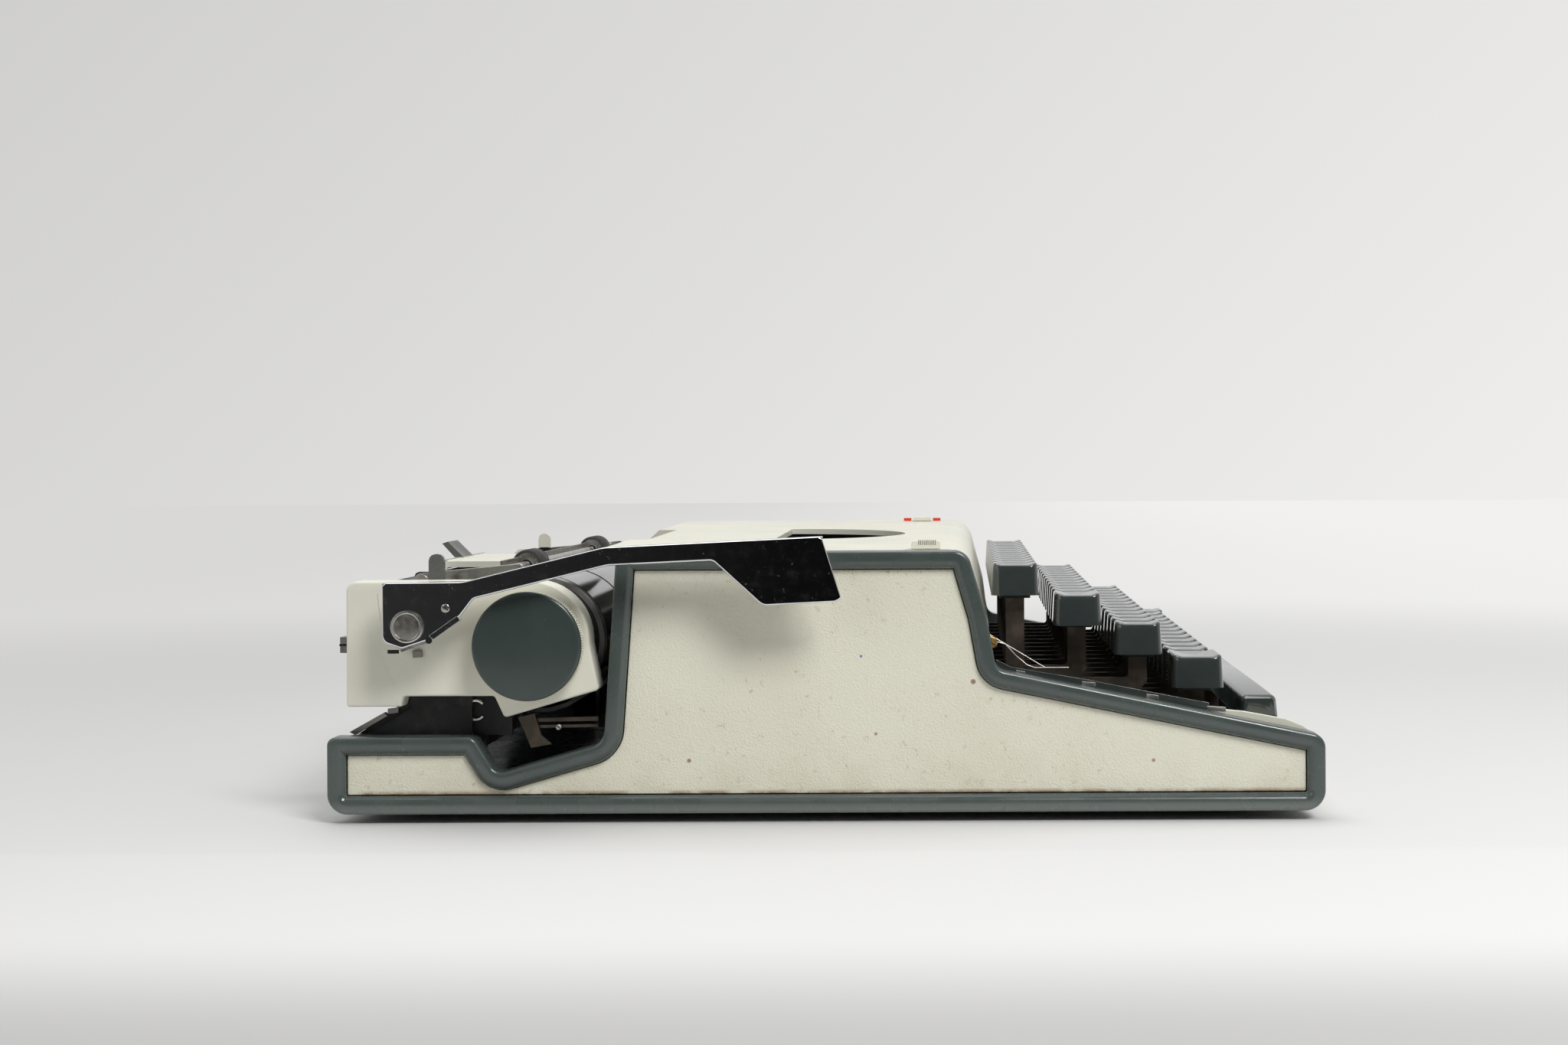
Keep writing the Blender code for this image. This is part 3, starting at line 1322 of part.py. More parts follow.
def make_function_keys():
    first_x = -(KEY_COLUMNS - 1) / 2 * KEY_PITCH
    left_end = -FUNCTION_KEYS_HALF_WIDTH
    last_x = -first_x
    half = KEY_WIDTH / 2
    release_x = first_x - KEY_PITCH
    single_key("margin_release_key", release_x, release_x - half, release_x + half, 0)
    backspace_x = last_x + KEY_PITCH
    single_key("backspace_key", backspace_x, backspace_x - half, backspace_x + half, 0)
    tab_end = first_x + ROW_LANES[1] * LEVER_LANE - half - KEY_GAP
    single_key("tab_key", first_x - 3 * LEVER_LANE, left_end, tab_end, 1)
    lock_end = first_x + ROW_LANES[2] * LEVER_LANE - half - KEY_GAP
    single_key("shift_lock_key", first_x - 5 * LEVER_LANE, left_end - KEY_GAP, lock_end, 2)


def make_shift_bail():
    """Both shift keys on one shaft, as they lift together."""
    first_x = -(KEY_COLUMNS - 1) / 2 * KEY_PITCH
    half = KEY_WIDTH / 2
    left_end = first_x + ROW_LANES[3] * LEVER_LANE - half - KEY_GAP
    right_start = -first_x + ROW_LANES[3] * LEVER_LANE + half + KEY_GAP
    end = chassis_inner - FIT_GAP
    bail = rod("shift_bail", -end, end, SHIFT_AXIS_Y, SHIFT_AXIS_Z, SHIFT_TUBE_RADIUS, black_steel())
    hub = (SHIFT_AXIS_Y, SHIFT_AXIS_Z)
    rise = (SHIFT_RISE_Y, SHIFT_AXIS_Z + SHIFT_RISE)
    for lane_x, x_from, x_to in (
        (-SHIFT_LANE_X, -SHIFT_KEYS_HALF_WIDTH, left_end),
        (SHIFT_LANE_X, right_start, SHIFT_KEYS_HALF_WIDTH),
    ):
        cap = key_cap((x_from + x_to) / 2, 3, x_to - x_from)
        join(bail, key_arm(lane_x, 3, hub, rise), cap)
    set_origin(bail, (0.0, SHIFT_AXIS_Y, SHIFT_AXIS_Z))


def make_space_bar():
    half_depth = SPACE_BAR_DEPTH / 2
    bottom = SPACE_BAR_TOP - SPACE_BAR_SKIRT
    corners = [
        (SPACE_BAR_Y - half_depth, bottom, FIT_GAP),
        (SPACE_BAR_Y + half_depth, bottom, FIT_GAP),
        (SPACE_BAR_Y + half_depth, SPACE_BAR_TOP - SPACE_BAR_CROWN / 2, SPACE_BAR_CROWN),
        (SPACE_BAR_Y - half_depth, SPACE_BAR_TOP - SPACE_BAR_CROWN / 2, SPACE_BAR_CROWN),
    ]
    half = SPACE_BAR_HALF_LENGTH
    bar = prism("space_bar", rounded(corners), -half, half, key_plastic())
    arm_low = SPACE_AXIS_Z - SPACE_ARM_HEIGHT / 2
    arm_top = SPACE_AXIS_Z + SPACE_ARM_HEIGHT / 2
    stem = SPACE_BAR_DEPTH / 4
    outline = [
        (SPACE_AXIS_Y + SPACE_ARM_HEIGHT / 2, arm_low),
        (SPACE_AXIS_Y + SPACE_ARM_HEIGHT / 2, arm_top),
        (SPACE_BAR_Y + stem, arm_top),
        (SPACE_BAR_Y + stem, bottom + SPACE_BAR_CROWN),
        (SPACE_BAR_Y - stem, bottom + SPACE_BAR_CROWN),
        (SPACE_BAR_Y - stem, arm_low),
    ]
    for side in (-1, 1):
        x = side * SPACE_ARM_X
        arm = prism("arm", outline, x - SPACE_ARM_WIDTH / 2, x + SPACE_ARM_WIDTH / 2, black_steel())
        join(bar, arm)
    end = chassis_inner - FIT_GAP
    shaft = rod("shaft", -end, end, SPACE_AXIS_Y, SPACE_AXIS_Z, SPACE_ARM_HEIGHT / 2, black_steel())
    join(bar, shaft)
    set_origin(bar, (0.0, SPACE_AXIS_Y, SPACE_AXIS_Z))


def make_fulcrum_rod():
    end = chassis_inner - FIT_GAP
    rod("key_fulcrum_rod", -end, end, FULCRUM_Y, FULCRUM_Z, FULCRUM_RADIUS, bright_steel())


def polar_solid(name, centre_y, turns, stations, filled, mat):
    """Ring sectors joined face to face. A station is (radius, low z, high z), turns are angles
    from straight ahead, and filled(k, j) says whether the cell after turn k and station j is solid.
    """
    bm = bmesh.new()
    corners = {}

    def corner(k, j, level):
        key = (k, j, level)
        if key not in corners:
            radius = stations[j][0]
            x = radius * math.sin(turns[k])
            y = centre_y - radius * math.cos(turns[k])
            corners[key] = bm.verts.new((x, y, stations[j][1 + level]))
        return corners[key]

    def solid(k, j):
        return 0 <= k < len(turns) - 1 and 0 <= j < len(stations) - 1 and filled(k, j)

    for k in range(len(turns) - 1):
        for j in range(len(stations) - 1):
            if not solid(k, j):
                continue
            around = [(k, j), (k, j + 1), (k + 1, j + 1), (k + 1, j)]
            for level in (0, 1):
                bm.faces.new([corner(*place, level) for place in around])
            beside = [solid(k - 1, j), solid(k, j + 1), solid(k + 1, j), solid(k, j - 1)]
            for edge, taken in enumerate(beside):
                if not taken:
                    first = around[edge]
                    second = around[(edge + 1) % len(around)]
                    lower = [corner(*first, 0), corner(*second, 0)]
                    bm.faces.new(lower + [corner(*second, 1), corner(*first, 1)])
    return finish(bm, name, mat)


def make_type_segment():
    turns = [math.pi * (k / SEGMENT_STEPS - 1 / 2) for k in range(SEGMENT_STEPS + 1)]
    stations = [
        (SEGMENT_INNER_RADIUS, SEGMENT_BOTTOM, SEGMENT_TOP),
        (SEGMENT_OUTER_RADIUS, SEGMENT_BOTTOM, SEGMENT_TOP),
    ]
    polar_solid("type_segment", SEGMENT_Y, turns, stations, lambda k, j: True, bright_steel())


def typebar_tip_radius():
    return TYPEBAR_PIVOT_RADIUS + TYPEBAR_LENGTH * math.cos(math.radians(TYPEBAR_SLOPE_DEG))


def make_typebar_fan():
    """The resting typebars, joined by the ring of their pivot wire."""
    cells = 2 * TYPEBARS_EACH_SIDE - 1
    step = (FAN_LAST_DEG - FAN_FIRST_DEG) / cells
    right = [math.radians(FAN_FIRST_DEG + step * k) for k in range(cells + 1)]
    turns = [-turn for turn in reversed(right)] + right
    centre_cell = len(right) - 1
    slope = math.tan(math.radians(TYPEBAR_SLOPE_DEG))
    tip = typebar_tip_radius()
    ring_low = SEGMENT_TOP + FIT_GAP
    half = TYPEBAR_HEIGHT / 2

    def bar_z(radius):
        return TYPEBAR_PIVOT_Z + slope * (radius - TYPEBAR_PIVOT_RADIUS)

    neck = tip - TYPE_HEAD_LENGTH
    stations = [
        (FAN_RING_INNER, ring_low, ring_low + FAN_RING_HEIGHT),
        (FAN_RING_OUTER, ring_low, ring_low + FAN_RING_HEIGHT),
        (TYPEBAR_PIVOT_RADIUS, bar_z(TYPEBAR_PIVOT_RADIUS) - half, bar_z(TYPEBAR_PIVOT_RADIUS) + half),
        (neck, bar_z(neck) - half, bar_z(neck) + half),
        (tip, bar_z(tip) - half, bar_z(tip) + TYPE_HEAD_HEIGHT),
    ]

    def filled(k, j):
        distance = abs(k - centre_cell)
        return j == 0 or distance % 2 == 1

    polar_solid("typebar_fan", SEGMENT_Y, turns, stations, filled, bright_steel())


def make_centre_typebar():
    pivot_y = SEGMENT_Y - TYPEBAR_PIVOT_RADIUS
    way = Vector((-math.cos(math.radians(TYPEBAR_SLOPE_DEG)), math.sin(math.radians(TYPEBAR_SLOPE_DEG))))
    up = Vector((-way.y, way.x)) * -1
    start = Vector((pivot_y, TYPEBAR_PIVOT_Z))
    half = TYPEBAR_HEIGHT / 2
    neck = start + way * (TYPEBAR_LENGTH - TYPE_HEAD_LENGTH / 2)
    tip = start + way * TYPEBAR_LENGTH
    outline = [
        start - way * half - up * half,
        start - way * half + up * half,
        neck + up * half,
        neck + up * TYPE_HEAD_HEIGHT,
        tip + up * TYPE_HEAD_HEIGHT,
        tip - up * half,
    ]
    bar = prism("centre_typebar", outline, -TYPEBAR_PLATE / 2, TYPEBAR_PLATE / 2, bright_steel())
    set_origin(bar, (0.0, pivot_y, TYPEBAR_PIVOT_Z))


def make_ribbon():
    low = SPOOL_SHELF_HEIGHT + SPOOL_SHELF_THICKNESS + SPOOL_LIFT
    bore = SPOOL_POST_RADIUS + PLATEN_BORE_GAP
    profile = [
        (low, bore),
        (low, SPOOL_RADIUS),
        (low + SPOOL_FLANGE, SPOOL_RADIUS),
        (low + SPOOL_FLANGE, SPOOL_CORE_RADIUS),
        (low + SPOOL_HEIGHT - SPOOL_FLANGE, SPOOL_CORE_RADIUS),
        (low + SPOOL_HEIGHT - SPOOL_FLANGE, SPOOL_RADIUS),
        (low + SPOOL_HEIGHT, SPOOL_RADIUS),
        (low + SPOOL_HEIGHT, bore),
    ]
    for side, label in ((-1, "left"), (1, "right")):
        x = side * SPOOL_X
        spool = turned_z(
            f"ribbon_spool_{label}", profile, x, SPOOL_Y, bright_steel(), ROUND_SIDES, ring=True
        )
        set_origin(spool, (x, SPOOL_Y, low))
    ribbon_y = PLATEN_Y - PLATEN_RADIUS - RIBBON_PLATEN_GAP
    guide = Vector((RIBBON_GUIDE_X, RIBBON_GUIDE_Y))
    spool_centre = Vector((SPOOL_X, SPOOL_Y))
    away = guide - spool_centre
    spool_edge = spool_centre + away.normalized() * (SPOOL_RADIUS + FIT_GAP)
    right = [Vector((RIBBON_CENTRE_HALF, ribbon_y)), guide, spool_edge]
    left = [Vector((-point.x, point.y)) for point in reversed(right)]
    outline = strip(left + right, RIBBON_THICKNESS)
    bottom = low + (SPOOL_HEIGHT - RIBBON_WIDTH) / 2
    loops = [[Vector((point.x, point.y, z)) for point in outline] for z in (bottom, bottom + RIBBON_WIDTH)]
    loft("ink_ribbon", loops, ribbon_cloth())


def make_bell():
    low = floor_top + FIT_GAP
    rim = low + BELL_HEIGHT / 2
    profile = [
        (low, BELL_POST_RADIUS),
        (rim + BELL_HEIGHT - 2 * BELL_WALL, BELL_POST_RADIUS),
        (rim + BELL_HEIGHT - 2 * BELL_WALL, BELL_CROWN_RADIUS - 2 * BELL_WALL),
        (rim, BELL_RADIUS - BELL_WALL),
        (rim, BELL_RADIUS),
        (rim + BELL_SHOULDER, BELL_CROWN_RADIUS),
        (rim + BELL_HEIGHT, BELL_TOP_RADIUS),
    ]
    turned_z("bell", profile, BELL_X, BELL_Y, bright_steel(), MEDIUM_ROUND_SIDES)


def main():
    clear_scene()
    make_side_frames()
    make_lower_casing()
    make_front_panel()
    make_feet()
    make_chassis()
    make_fulcrum_rod()
    make_carriage_rail()
    make_type_segment()
    make_typebar_fan()
    make_centre_typebar()
    make_ribbon()
    make_bell()
    make_ribbon_cover()
    make_selectors()
    make_carriage_frame()
    make_end_covers()
    make_platen()
    make_paper_table()
    make_paper_support()
    make_paper_bail()
    make_margin_stops()
    make_carriage_levers()
    make_return_lever()
    make_key_columns()
    make_function_keys()
    make_shift_bail()
    make_space_bar()


main()
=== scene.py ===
"""Looks of the portable typewriter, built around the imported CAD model.

Metres; X to the typist's right, Y to the rear, Z up. The photograph looks along +X at the left side.
"""
import json
import math

import bmesh
import bpy
from mathutils import Matrix, Vector


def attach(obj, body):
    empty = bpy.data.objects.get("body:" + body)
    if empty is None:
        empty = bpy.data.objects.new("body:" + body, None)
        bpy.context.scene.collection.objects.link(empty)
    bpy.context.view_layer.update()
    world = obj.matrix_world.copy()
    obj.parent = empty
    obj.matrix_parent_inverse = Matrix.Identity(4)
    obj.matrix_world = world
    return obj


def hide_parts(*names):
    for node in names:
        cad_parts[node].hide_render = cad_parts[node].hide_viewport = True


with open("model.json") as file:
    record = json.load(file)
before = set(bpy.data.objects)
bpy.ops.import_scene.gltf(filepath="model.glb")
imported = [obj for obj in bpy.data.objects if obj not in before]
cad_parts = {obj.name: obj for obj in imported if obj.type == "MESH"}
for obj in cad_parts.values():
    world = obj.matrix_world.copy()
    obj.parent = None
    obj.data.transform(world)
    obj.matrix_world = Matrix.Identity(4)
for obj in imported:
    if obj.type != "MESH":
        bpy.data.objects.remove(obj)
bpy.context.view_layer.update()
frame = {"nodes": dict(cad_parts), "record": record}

# The photograph: scale of the near side frame's face and the camera
PHOTO_WIDTH = 2048
PHOTO_HEIGHT = 1365
FACE_SCALE = 3958.0
FACE_X = -0.1525
CAMERA_DISTANCE = 0.775
CAMERA_Y = -0.0464
CAMERA_Z = 0.119
CAMERA_ROLL_DEG = 0.26
VANISHING_PIXEL = (1261, 603)
SENSOR_WIDTH = 36.0
PIXEL_Y_ZERO = 1077.5
PIXEL_Z_ZERO = 1074.5

# Body and side frames, as in the CAD
HALF_DEPTH = 0.165
FRAME_TOP = 0.0896
FRAME_THICKNESS = 0.009
FRAME_TRIM = 0.0042
FRAME_BEVEL = 0.0017
FRAME_EDGE = 0.0011
PANEL_RECESS = 0.003
PANEL_THICKNESS = 0.002
FIT_GAP = 0.0003
INNER_HALF = -FACE_X - FRAME_THICKNESS
FINE_STEPS = 12
EDGE_STEPS = 3
SMALLEST_RADIUS = 0.0003
CAD_BEVEL = 0.0004

FRAME_CORNER_shares = (
    (1.0, 0.0357),
    (1.0, 0.3203),
    (0.7061, 0.3203),
    (0.6606, 0.183),
    (0.4461, 0.2969),
    (0.4194, 1.0),
    (-0.2836, 1.0),
    (-0.3218, 0.7612),
    (-0.3412, 0.5603),
    (-1.0, 0.3114),
    (-1.0, 0.0357),
)
FRAME_CORNER_RADII = (0.0068, 0.0026, 0.0035, 0.0042, 0.0062, 0.0014, 0.006, 0.03, 0.0045, 0.005, 0.0068)

# Carriage
PLATEN_Y = 0.4194 * HALF_DEPTH + 0.0065 + 0.0215
PLATEN_Z = 0.0593
PLATEN_RADIUS = 0.0215
PLATEN_HALF = 0.1333
PLATEN_BORE = 0.0034
PLATEN_SIDES = 96
CARRIAGE_HALF_WIDTH = 0.1505
END_COVER_THICKNESS = 0.0112
END_COVER_LENGTH = (HALF_DEPTH - 0.0062 - PLATEN_Y) / 0.7193
END_COVER_HEIGHT = 0.0448
END_COVER_HOLE = 0.0034
END_COVER_EDGE = 0.0009
CUT_REACH = 0.003
END_COVER_shares = (
    (0.7193, -0.4598, 0.02),
    (0.7193, 0.4665, 0.075),
    (-0.2087, 0.4665, 0.44),
    (-0.2207, -0.01, 0.05),
    (-0.2573, -0.3415, 0.03),
    (0.1097, -0.5446, 0.03),
    (0.1486, -0.3839, 0.03),
    (0.4988, -0.3839, 0.02),
    (0.5083, -0.4598, 0.01),
)
KNOB_RADIUS = 0.0176
KNOB_START = 0.1513
KNOB_LEFT_END = 0.1618
KNOB_RIGHT_END = 0.1705
KNOB_BORE = 0.0033
KNOB_BORE_END = 0.1568
KNOB_FACE_RADIUS = 0.0179
KNOB_FACE_DEPTH = 0.0024
KNOB_RIDGES = 130
KNOB_RIDGE_DEPTH = 0.0004
ROLLER_LENGTH = 0.017
ROLLER_RADIUS = 0.0055
ROLLER_BORE = 0.0018
ROLLER_X = 0.0735
ROLLER_TURN_DEG = 58
ROLLER_REACH = PLATEN_RADIUS + ROLLER_RADIUS + 0.0004
BAIL_ROD = (
    PLATEN_Y + ROLLER_REACH * math.cos(math.radians(ROLLER_TURN_DEG)),
    PLATEN_Z + ROLLER_REACH * math.sin(math.radians(ROLLER_TURN_DEG)),
)
BAIL_ROD_RADIUS = 0.0014
BAIL_ROD_HALF = 0.1178
WASHER_BORE = 0.0019
WASHER_RADIUS = 0.0043
WASHER_HALF = 0.0003
SCALE_HALF = 0.117
SCALE_DEPTHS = (0.0018, 0.0026)
SCALE_HALF_HEIGHT = 0.003
BAIL_PIVOT = (PLATEN_Y + 0.0437, PLATEN_Z + 0.0195)
BAIL_ARM_X = (0.1174, 0.119)
SLEEVE_BANDS = ((-0.1335, -0.129), (-0.1289, -0.1279), (-0.0762, -0.0752))

# Return lever
LEVER_LENGTH = 0.1403
LEVER_PIVOT = (PLATEN_Y + 0.0369, PLATEN_Z + 0.0072)
LEVER_OUTER_X = -0.1693
LEVER_SHEET = 0.0012
LEVER_FLANGE = 0.007
LEVER_HOLE = 0.0037
LEVER_shares = (
    (0.0128, -0.0513, 0.02),
    (-0.0556, -0.0292, 0.02),
    (-0.1219, 0.0235, 0.03),
    (-0.1525, 0.0634, 0.02),
    (-0.4612, 0.1383, 0.06),
    (-0.7035, 0.149, 0.02),
    (-0.8175, 0.0442, 0.03),
    (-0.985, 0.052, 0.02),
    (-1.0, 0.0592, 0.008),
    (-0.9544, 0.2031, 0.012),
    (-0.4519, 0.1803, 0.12),
    (-0.1262, 0.1019, 0.08),
    (0.0584, 0.1005, 0.01),
    (0.0577, -0.0356, 0.02),
)
LEVER_TOP_CORNERS = slice(9, 13)
STUD_RADIUS = 0.005
STUD_WAIST = 0.0034
STUD_END_X = -0.1703

# Keyboard
KEY_PITCH = -2 * FACE_X / 16
KEY_GAP = 0.00355
KEY_WIDTH = KEY_PITCH - KEY_GAP
KEY_DEPTH = 0.0165
KEY_HEIGHT = 0.0107
KEY_TAPER = 0.0012
KEY_DISH = 0.0014
KEY_CORNER_RISE = 0.0006
KEY_CORNER = 0.003
KEY_CORNER_STEPS = 5
KEY_COLUMNS = 11
LANE = KEY_PITCH / 4
ARM_PLATE = 0.0012
STEM_WIDTH = 0.0064
ARM_HEIGHT = 0.0048
KNEE_Y = -0.05
KNEE_BEHIND = 0.0075
FULCRUM = (0.03, 0.012)
HUB_RADIUS = 0.0035
HUB_BORE = 0.0016
SINGLE_HUB_HALF = 0.0018
FIRST_ROW_Y = -0.0633
FIRST_ROW_TOP = 0.0837
KEYBOARD_REACH = 0.0611
KEYBOARD_DROP = 0.0312
FIRST_ROW_ARM_TOP = 0.0465
ROW_PLACE_shares = (0.0, 0.352, 0.687, 1.0)
ROW_HEIGHT_shares = (0.0, 0.337, 0.647, 1.0)
ARM_HEIGHT_shares = (0.0, -0.05, 0.06, 0.33)
ROW_LANES = (0, 2, -1, 1)
FUNCTION_HALF = 0.1222
SHIFT_HALF = 0.1305
SHIFT_AXIS = (0.0417, 0.009)
SHIFT_RISE = (0.034, 0.0215)
SHIFT_LANE_X = 6.5 * KEY_PITCH
SHAFT_END = 0.1327
SHIFT_KEY_DEPTH = 0.0178
SPACE_BAR_Y = -0.1504
SPACE_BAR_TOP = 0.0367
SPACE_BAR_DEPTH = 0.014
SPACE_BAR_SKIRT = 0.0095
SPACE_BAR_HALF = 0.0925
SPACE_BAR_AXIS = (-0.075, 0.0135)
SPACE_BAR_ARM = 0.0036
SPACE_BAR_ARM_X = 0.075

# Ribbon cover
COVER_TOP = 0.0925
COVER_SHEET = 0.0022
COVER_HALF = INNER_HALF - 0.0008
COVER_FRONT = 0.054
COVER_FRONT_BOTTOM = 0.067
COVER_LEAN = 0.0069
COVER_TILT = 0.0034
COVER_RADIUS = 0.009
COVER_REAR = 0.087
COVER_REAR_DROP = 0.0062
COVER_REAR_RUN = 0.0065
BASKET_RADIUS = 0.048
BASKET_Y = 0.0255
BASKET_STEPS = 64
NOTCH_HALF = 0.045
NOTCH_DEPTH = 0.014
SELECTORS = (("touch_selector", -0.128, -0.0328, 0.0101), ("ribbon_selector", 0.128, -0.0268, 0.008))
CAP_HALF_WIDTH = 0.00275
CAP_RIBS = 9
CAP_RIB_PITCH = 0.0007
MARKS_X = (0.1312, 0.134)
MARKS_Y = (-0.0202, -0.0333)

# Typebars
SEGMENT_Y = 0.052
SEGMENT_RADII = (0.008, 0.0105)
SEGMENT_HEIGHTS = (0.0213, 0.024)
SEGMENT_STEPS = 36
BAR_PIVOT_RADIUS = 0.014
BAR_PIVOT_Z = 0.026
BAR_HEEL_RADIUS = 0.0098
BAR_TAPER_LENGTH = 0.012
BAR_LENGTH = 0.0515
BAR_SLOPE_DEG = 20
BAR_HEIGHT = 0.0036
BAR_PLATE = 0.0009
BARS_EACH_SIDE = 16
FAN_DEG = (6.7, 80.8)
SLUG_LENGTH = 0.0034
SLUG_HEIGHT = 0.0068
SLUG_WIDTH = 0.0022

# Small parts on the near side. A shape is its material, the X of its near and far face behind a
# plane of constant X, and its outline in pixels of the photograph.
NOTCH_X = -0.1424
NOTCH_SHAPES = (
    ("dull_nickel", 0.0, 0.003, [(455, 953), (500, 928), (505, 932), (462, 957)]),
    ("black_steel", 0.0012, 0.0032, [(468, 955), (516, 922), (528, 904), (668, 904), (668, 958)]),
    ("grip_grey", 0.0, 0.001, [(505, 923), (519, 921), (519, 928), (505, 930)]),
    ("key_lever_steel", 0.0012, 0.003, [(700, 936), (780, 934), (780, 940), (700, 941)]),
    ("key_lever_steel", 0.0012, 0.003, [(700, 945), (780, 944), (780, 948), (700, 949)]),
    (
        "key_lever_steel", 0.0, 0.0015,
        [(675, 935), (697, 930), (705, 958), (719, 970), (692, 975), (684, 955)],
    ),
)
NOTCH_HOOK_PIXEL = (620, 925)
NOTCH_HOOK_PIXEL_RADIUS = 12.5
NOTCH_HOOK_WIRE = 0.0006
NOTCH_SCREWS = (((578, 940), 0.0016, "key_lever_steel"), ((728, 948), 0.001, "bright_steel"))
KEY_SIDE_X = -0.1432
KEY_SIDE_SCREW_PIXEL = (1294, 840)
KEY_SIDE_WIRE = 0.00025
KEY_SIDE_WIRE_PIXELS = (
    [(1289, 828), (1364, 873)],
    [(1298, 838), (1312, 842), (1326, 857), (1340, 869), (1350, 873), (1395, 873)],
)
STRIP_PIXELS = [(1300, 862), (1320, 872), (1420, 889), (1500, 905), (1578, 920)]
STRIP_PIXEL_HEIGHT = 30
TAB_PIXELS = (
    (1326, 1338, 876, 882), (1412, 1430, 891, 896), (1496, 1512, 908, 913), (1575, 1600, 924, 929)
)
TAB_PIXEL_SLANT = 2
PANEL_EDGE_PIXELS = [
    (1575, 924), (1592, 928), (1623, 931), (1678, 941), (1700, 950), (1716, 961), (1716, 970), (1592, 945)
]
PANEL_EDGE_THICKNESS = 0.0015
COVER_SHAPES = (
    ("cream_plastic", -0.0004, 0.001, [(492, 772), (499, 762), (503, 800), (503, 830), (498, 822)]),
    ("dull_nickel", 0.003, 0.0085, [(443, 829), (452, 829), (452, 850), (443, 850)]),
    ("black_steel", 0.0028, 0.0087, [(442, 838), (452, 838), (452, 841), (442, 841)]),
    ("bright_steel", -0.0012, 0.0004, [(520, 846), (554, 833), (557, 838), (523, 850)]),
    ("dull_nickel", -0.0016, 0.0004, [(537, 848), (549, 847), (550, 856), (538, 857)]),
)
LEVER_SHAPES = (
    ("chrome", -0.0002, 0.004, [(559, 828), (596, 802), (600, 808), (565, 833)]),
    ("black_steel", -0.0001, 0.0002, [(505, 846), (520, 846), (520, 851), (505, 851)]),
)
LEVER_DIMPLE_PIXEL = (559, 834)
LEVER_SCREW_PIXEL = (581, 792)
SCREW_HEIGHT = 0.0004
SCREW_SLOT_WIDTH = 0.0004
SCREW_SLOT_TURN = 0.6

# Colours, and the spots on the near panel: pixels, radius and colour
RED = (0.8, 0.05, 0.035)
CREAM = (0.78, 0.762, 0.63)
PANEL_SPOTS = (
    (1270, 892, 0.0011, (0.2, 0.08, 0.03)),
    (897, 994, 0.0009, (0.22, 0.1, 0.04)),
    (1123, 858, 0.0006, (0.08, 0.09, 0.3)),
    (1506, 996, 0.0008, (0.3, 0.16, 0.08)),
    (1142, 960, 0.0007, (0.3, 0.16, 0.08)),
)

# Floor, background and lamps: name, place, size and power
BACKGROUND = (1.0, 0.993, 0.985)
FLOOR_CORNERS = ((-0.5, -6.0, 0.0), (6.0, -6.0, 0.0), (6.0, 6.0, 0.0), (-0.5, 6.0, 0.0))
LAMP_TARGET = (-0.05, 0.0, 0.05)
LAMPS = (
    ("key_light", (-1.25, -0.66, 1.26), 0.6, 21),
    ("top_light", (0.15, 0.1, 1.6), 1.2, 10),
    ("fill_light", (-1.2, 1.1, 0.8), 0.8, 2.4),
)


def rounded(corners, inset=0.0, steps=FINE_STEPS):
    """Closed outline with filleted corners, moved inwards by inset."""
    count = len(corners)
    points = [Vector((corner[0], corner[1])) for corner in corners]
    if sum(points[k - 1].cross(points[k]) for k in range(count)) < 0:
        corners = list(reversed(corners))
        points.reverse()
    ways = [(points[(k + 1) % count] - points[k]).normalized() for k in range(count)]
    result = []
    for k, point in enumerate(points):
        way_in = ways[k - 1]
        way_out = ways[k]
        turn = math.atan2(way_in.cross(way_out), way_in.dot(way_out))
        radius = max(corners[k][2] - math.copysign(inset, turn), SMALLEST_RADIUS)
        normal_in = Vector((-way_in.y, way_in.x))
        mitre = (normal_in + Vector((-way_out.y, way_out.x))).normalized()
        corner = point + mitre * (inset / mitre.dot(normal_in))
        start = corner - way_in * (radius * math.tan(abs(turn) / 2))
        centre = start + normal_in * math.copysign(radius, turn)
        for step in range(steps + 1):
            result.append(centre + Matrix.Rotation(turn * step / steps, 2) @ (start - centre))
    return result


def shares_to_corners(shares, origin, length, height=None):
    height = height or length
    return [(origin[0] + y * length, origin[1] + z * height, r * height) for y, z, r in shares]


def strip(path, thickness):
    """Outline of a bent sheet that lies to the left of its path."""
    points = [Vector(point) for point in path]
    offset = []
    for k, point in enumerate(points):
        ways = []
        if k > 0:
            ways.append((point - points[k - 1]).normalized())
        if k < len(points) - 1:
            ways.append((points[k + 1] - point).normalized())
        normals = [Vector((-way.y, way.x)) for way in ways]
        mitre = (normals[0] + normals[-1]).normalized()
        offset.append(point + mitre * (thickness / mitre.dot(normals[0])))
    return points + list(reversed(offset))


def across(outline, x):
    return [Vector((x, point[0], point[1])) for point in outline]


def flat(outline, z):
    return [Vector((point[0], point[1], z)) for point in outline]


def circle(radius, sides, centre=(0.0, 0.0)):
    turns = [2 * math.pi * k / sides for k in range(sides)]
    return [(centre[0] + radius * math.cos(t), centre[1] + radius * math.sin(t)) for t in turns]


def tube(x_from, x_to, bore, radius):
    """Profile of a tube along X, for turned_x with ring."""
    return [(x_from, bore), (x_from, radius), (x_to, radius), (x_to, bore)]


def quarter_round(edge):
    """Insets and depths from the side of a plate to its face, round an edge."""
    turns = [math.pi / 2 * step / EDGE_STEPS for step in range(EDGE_STEPS + 1)]
    return [(edge * (1 - math.cos(turn)), edge * (1 - math.sin(turn))) for turn in turns]


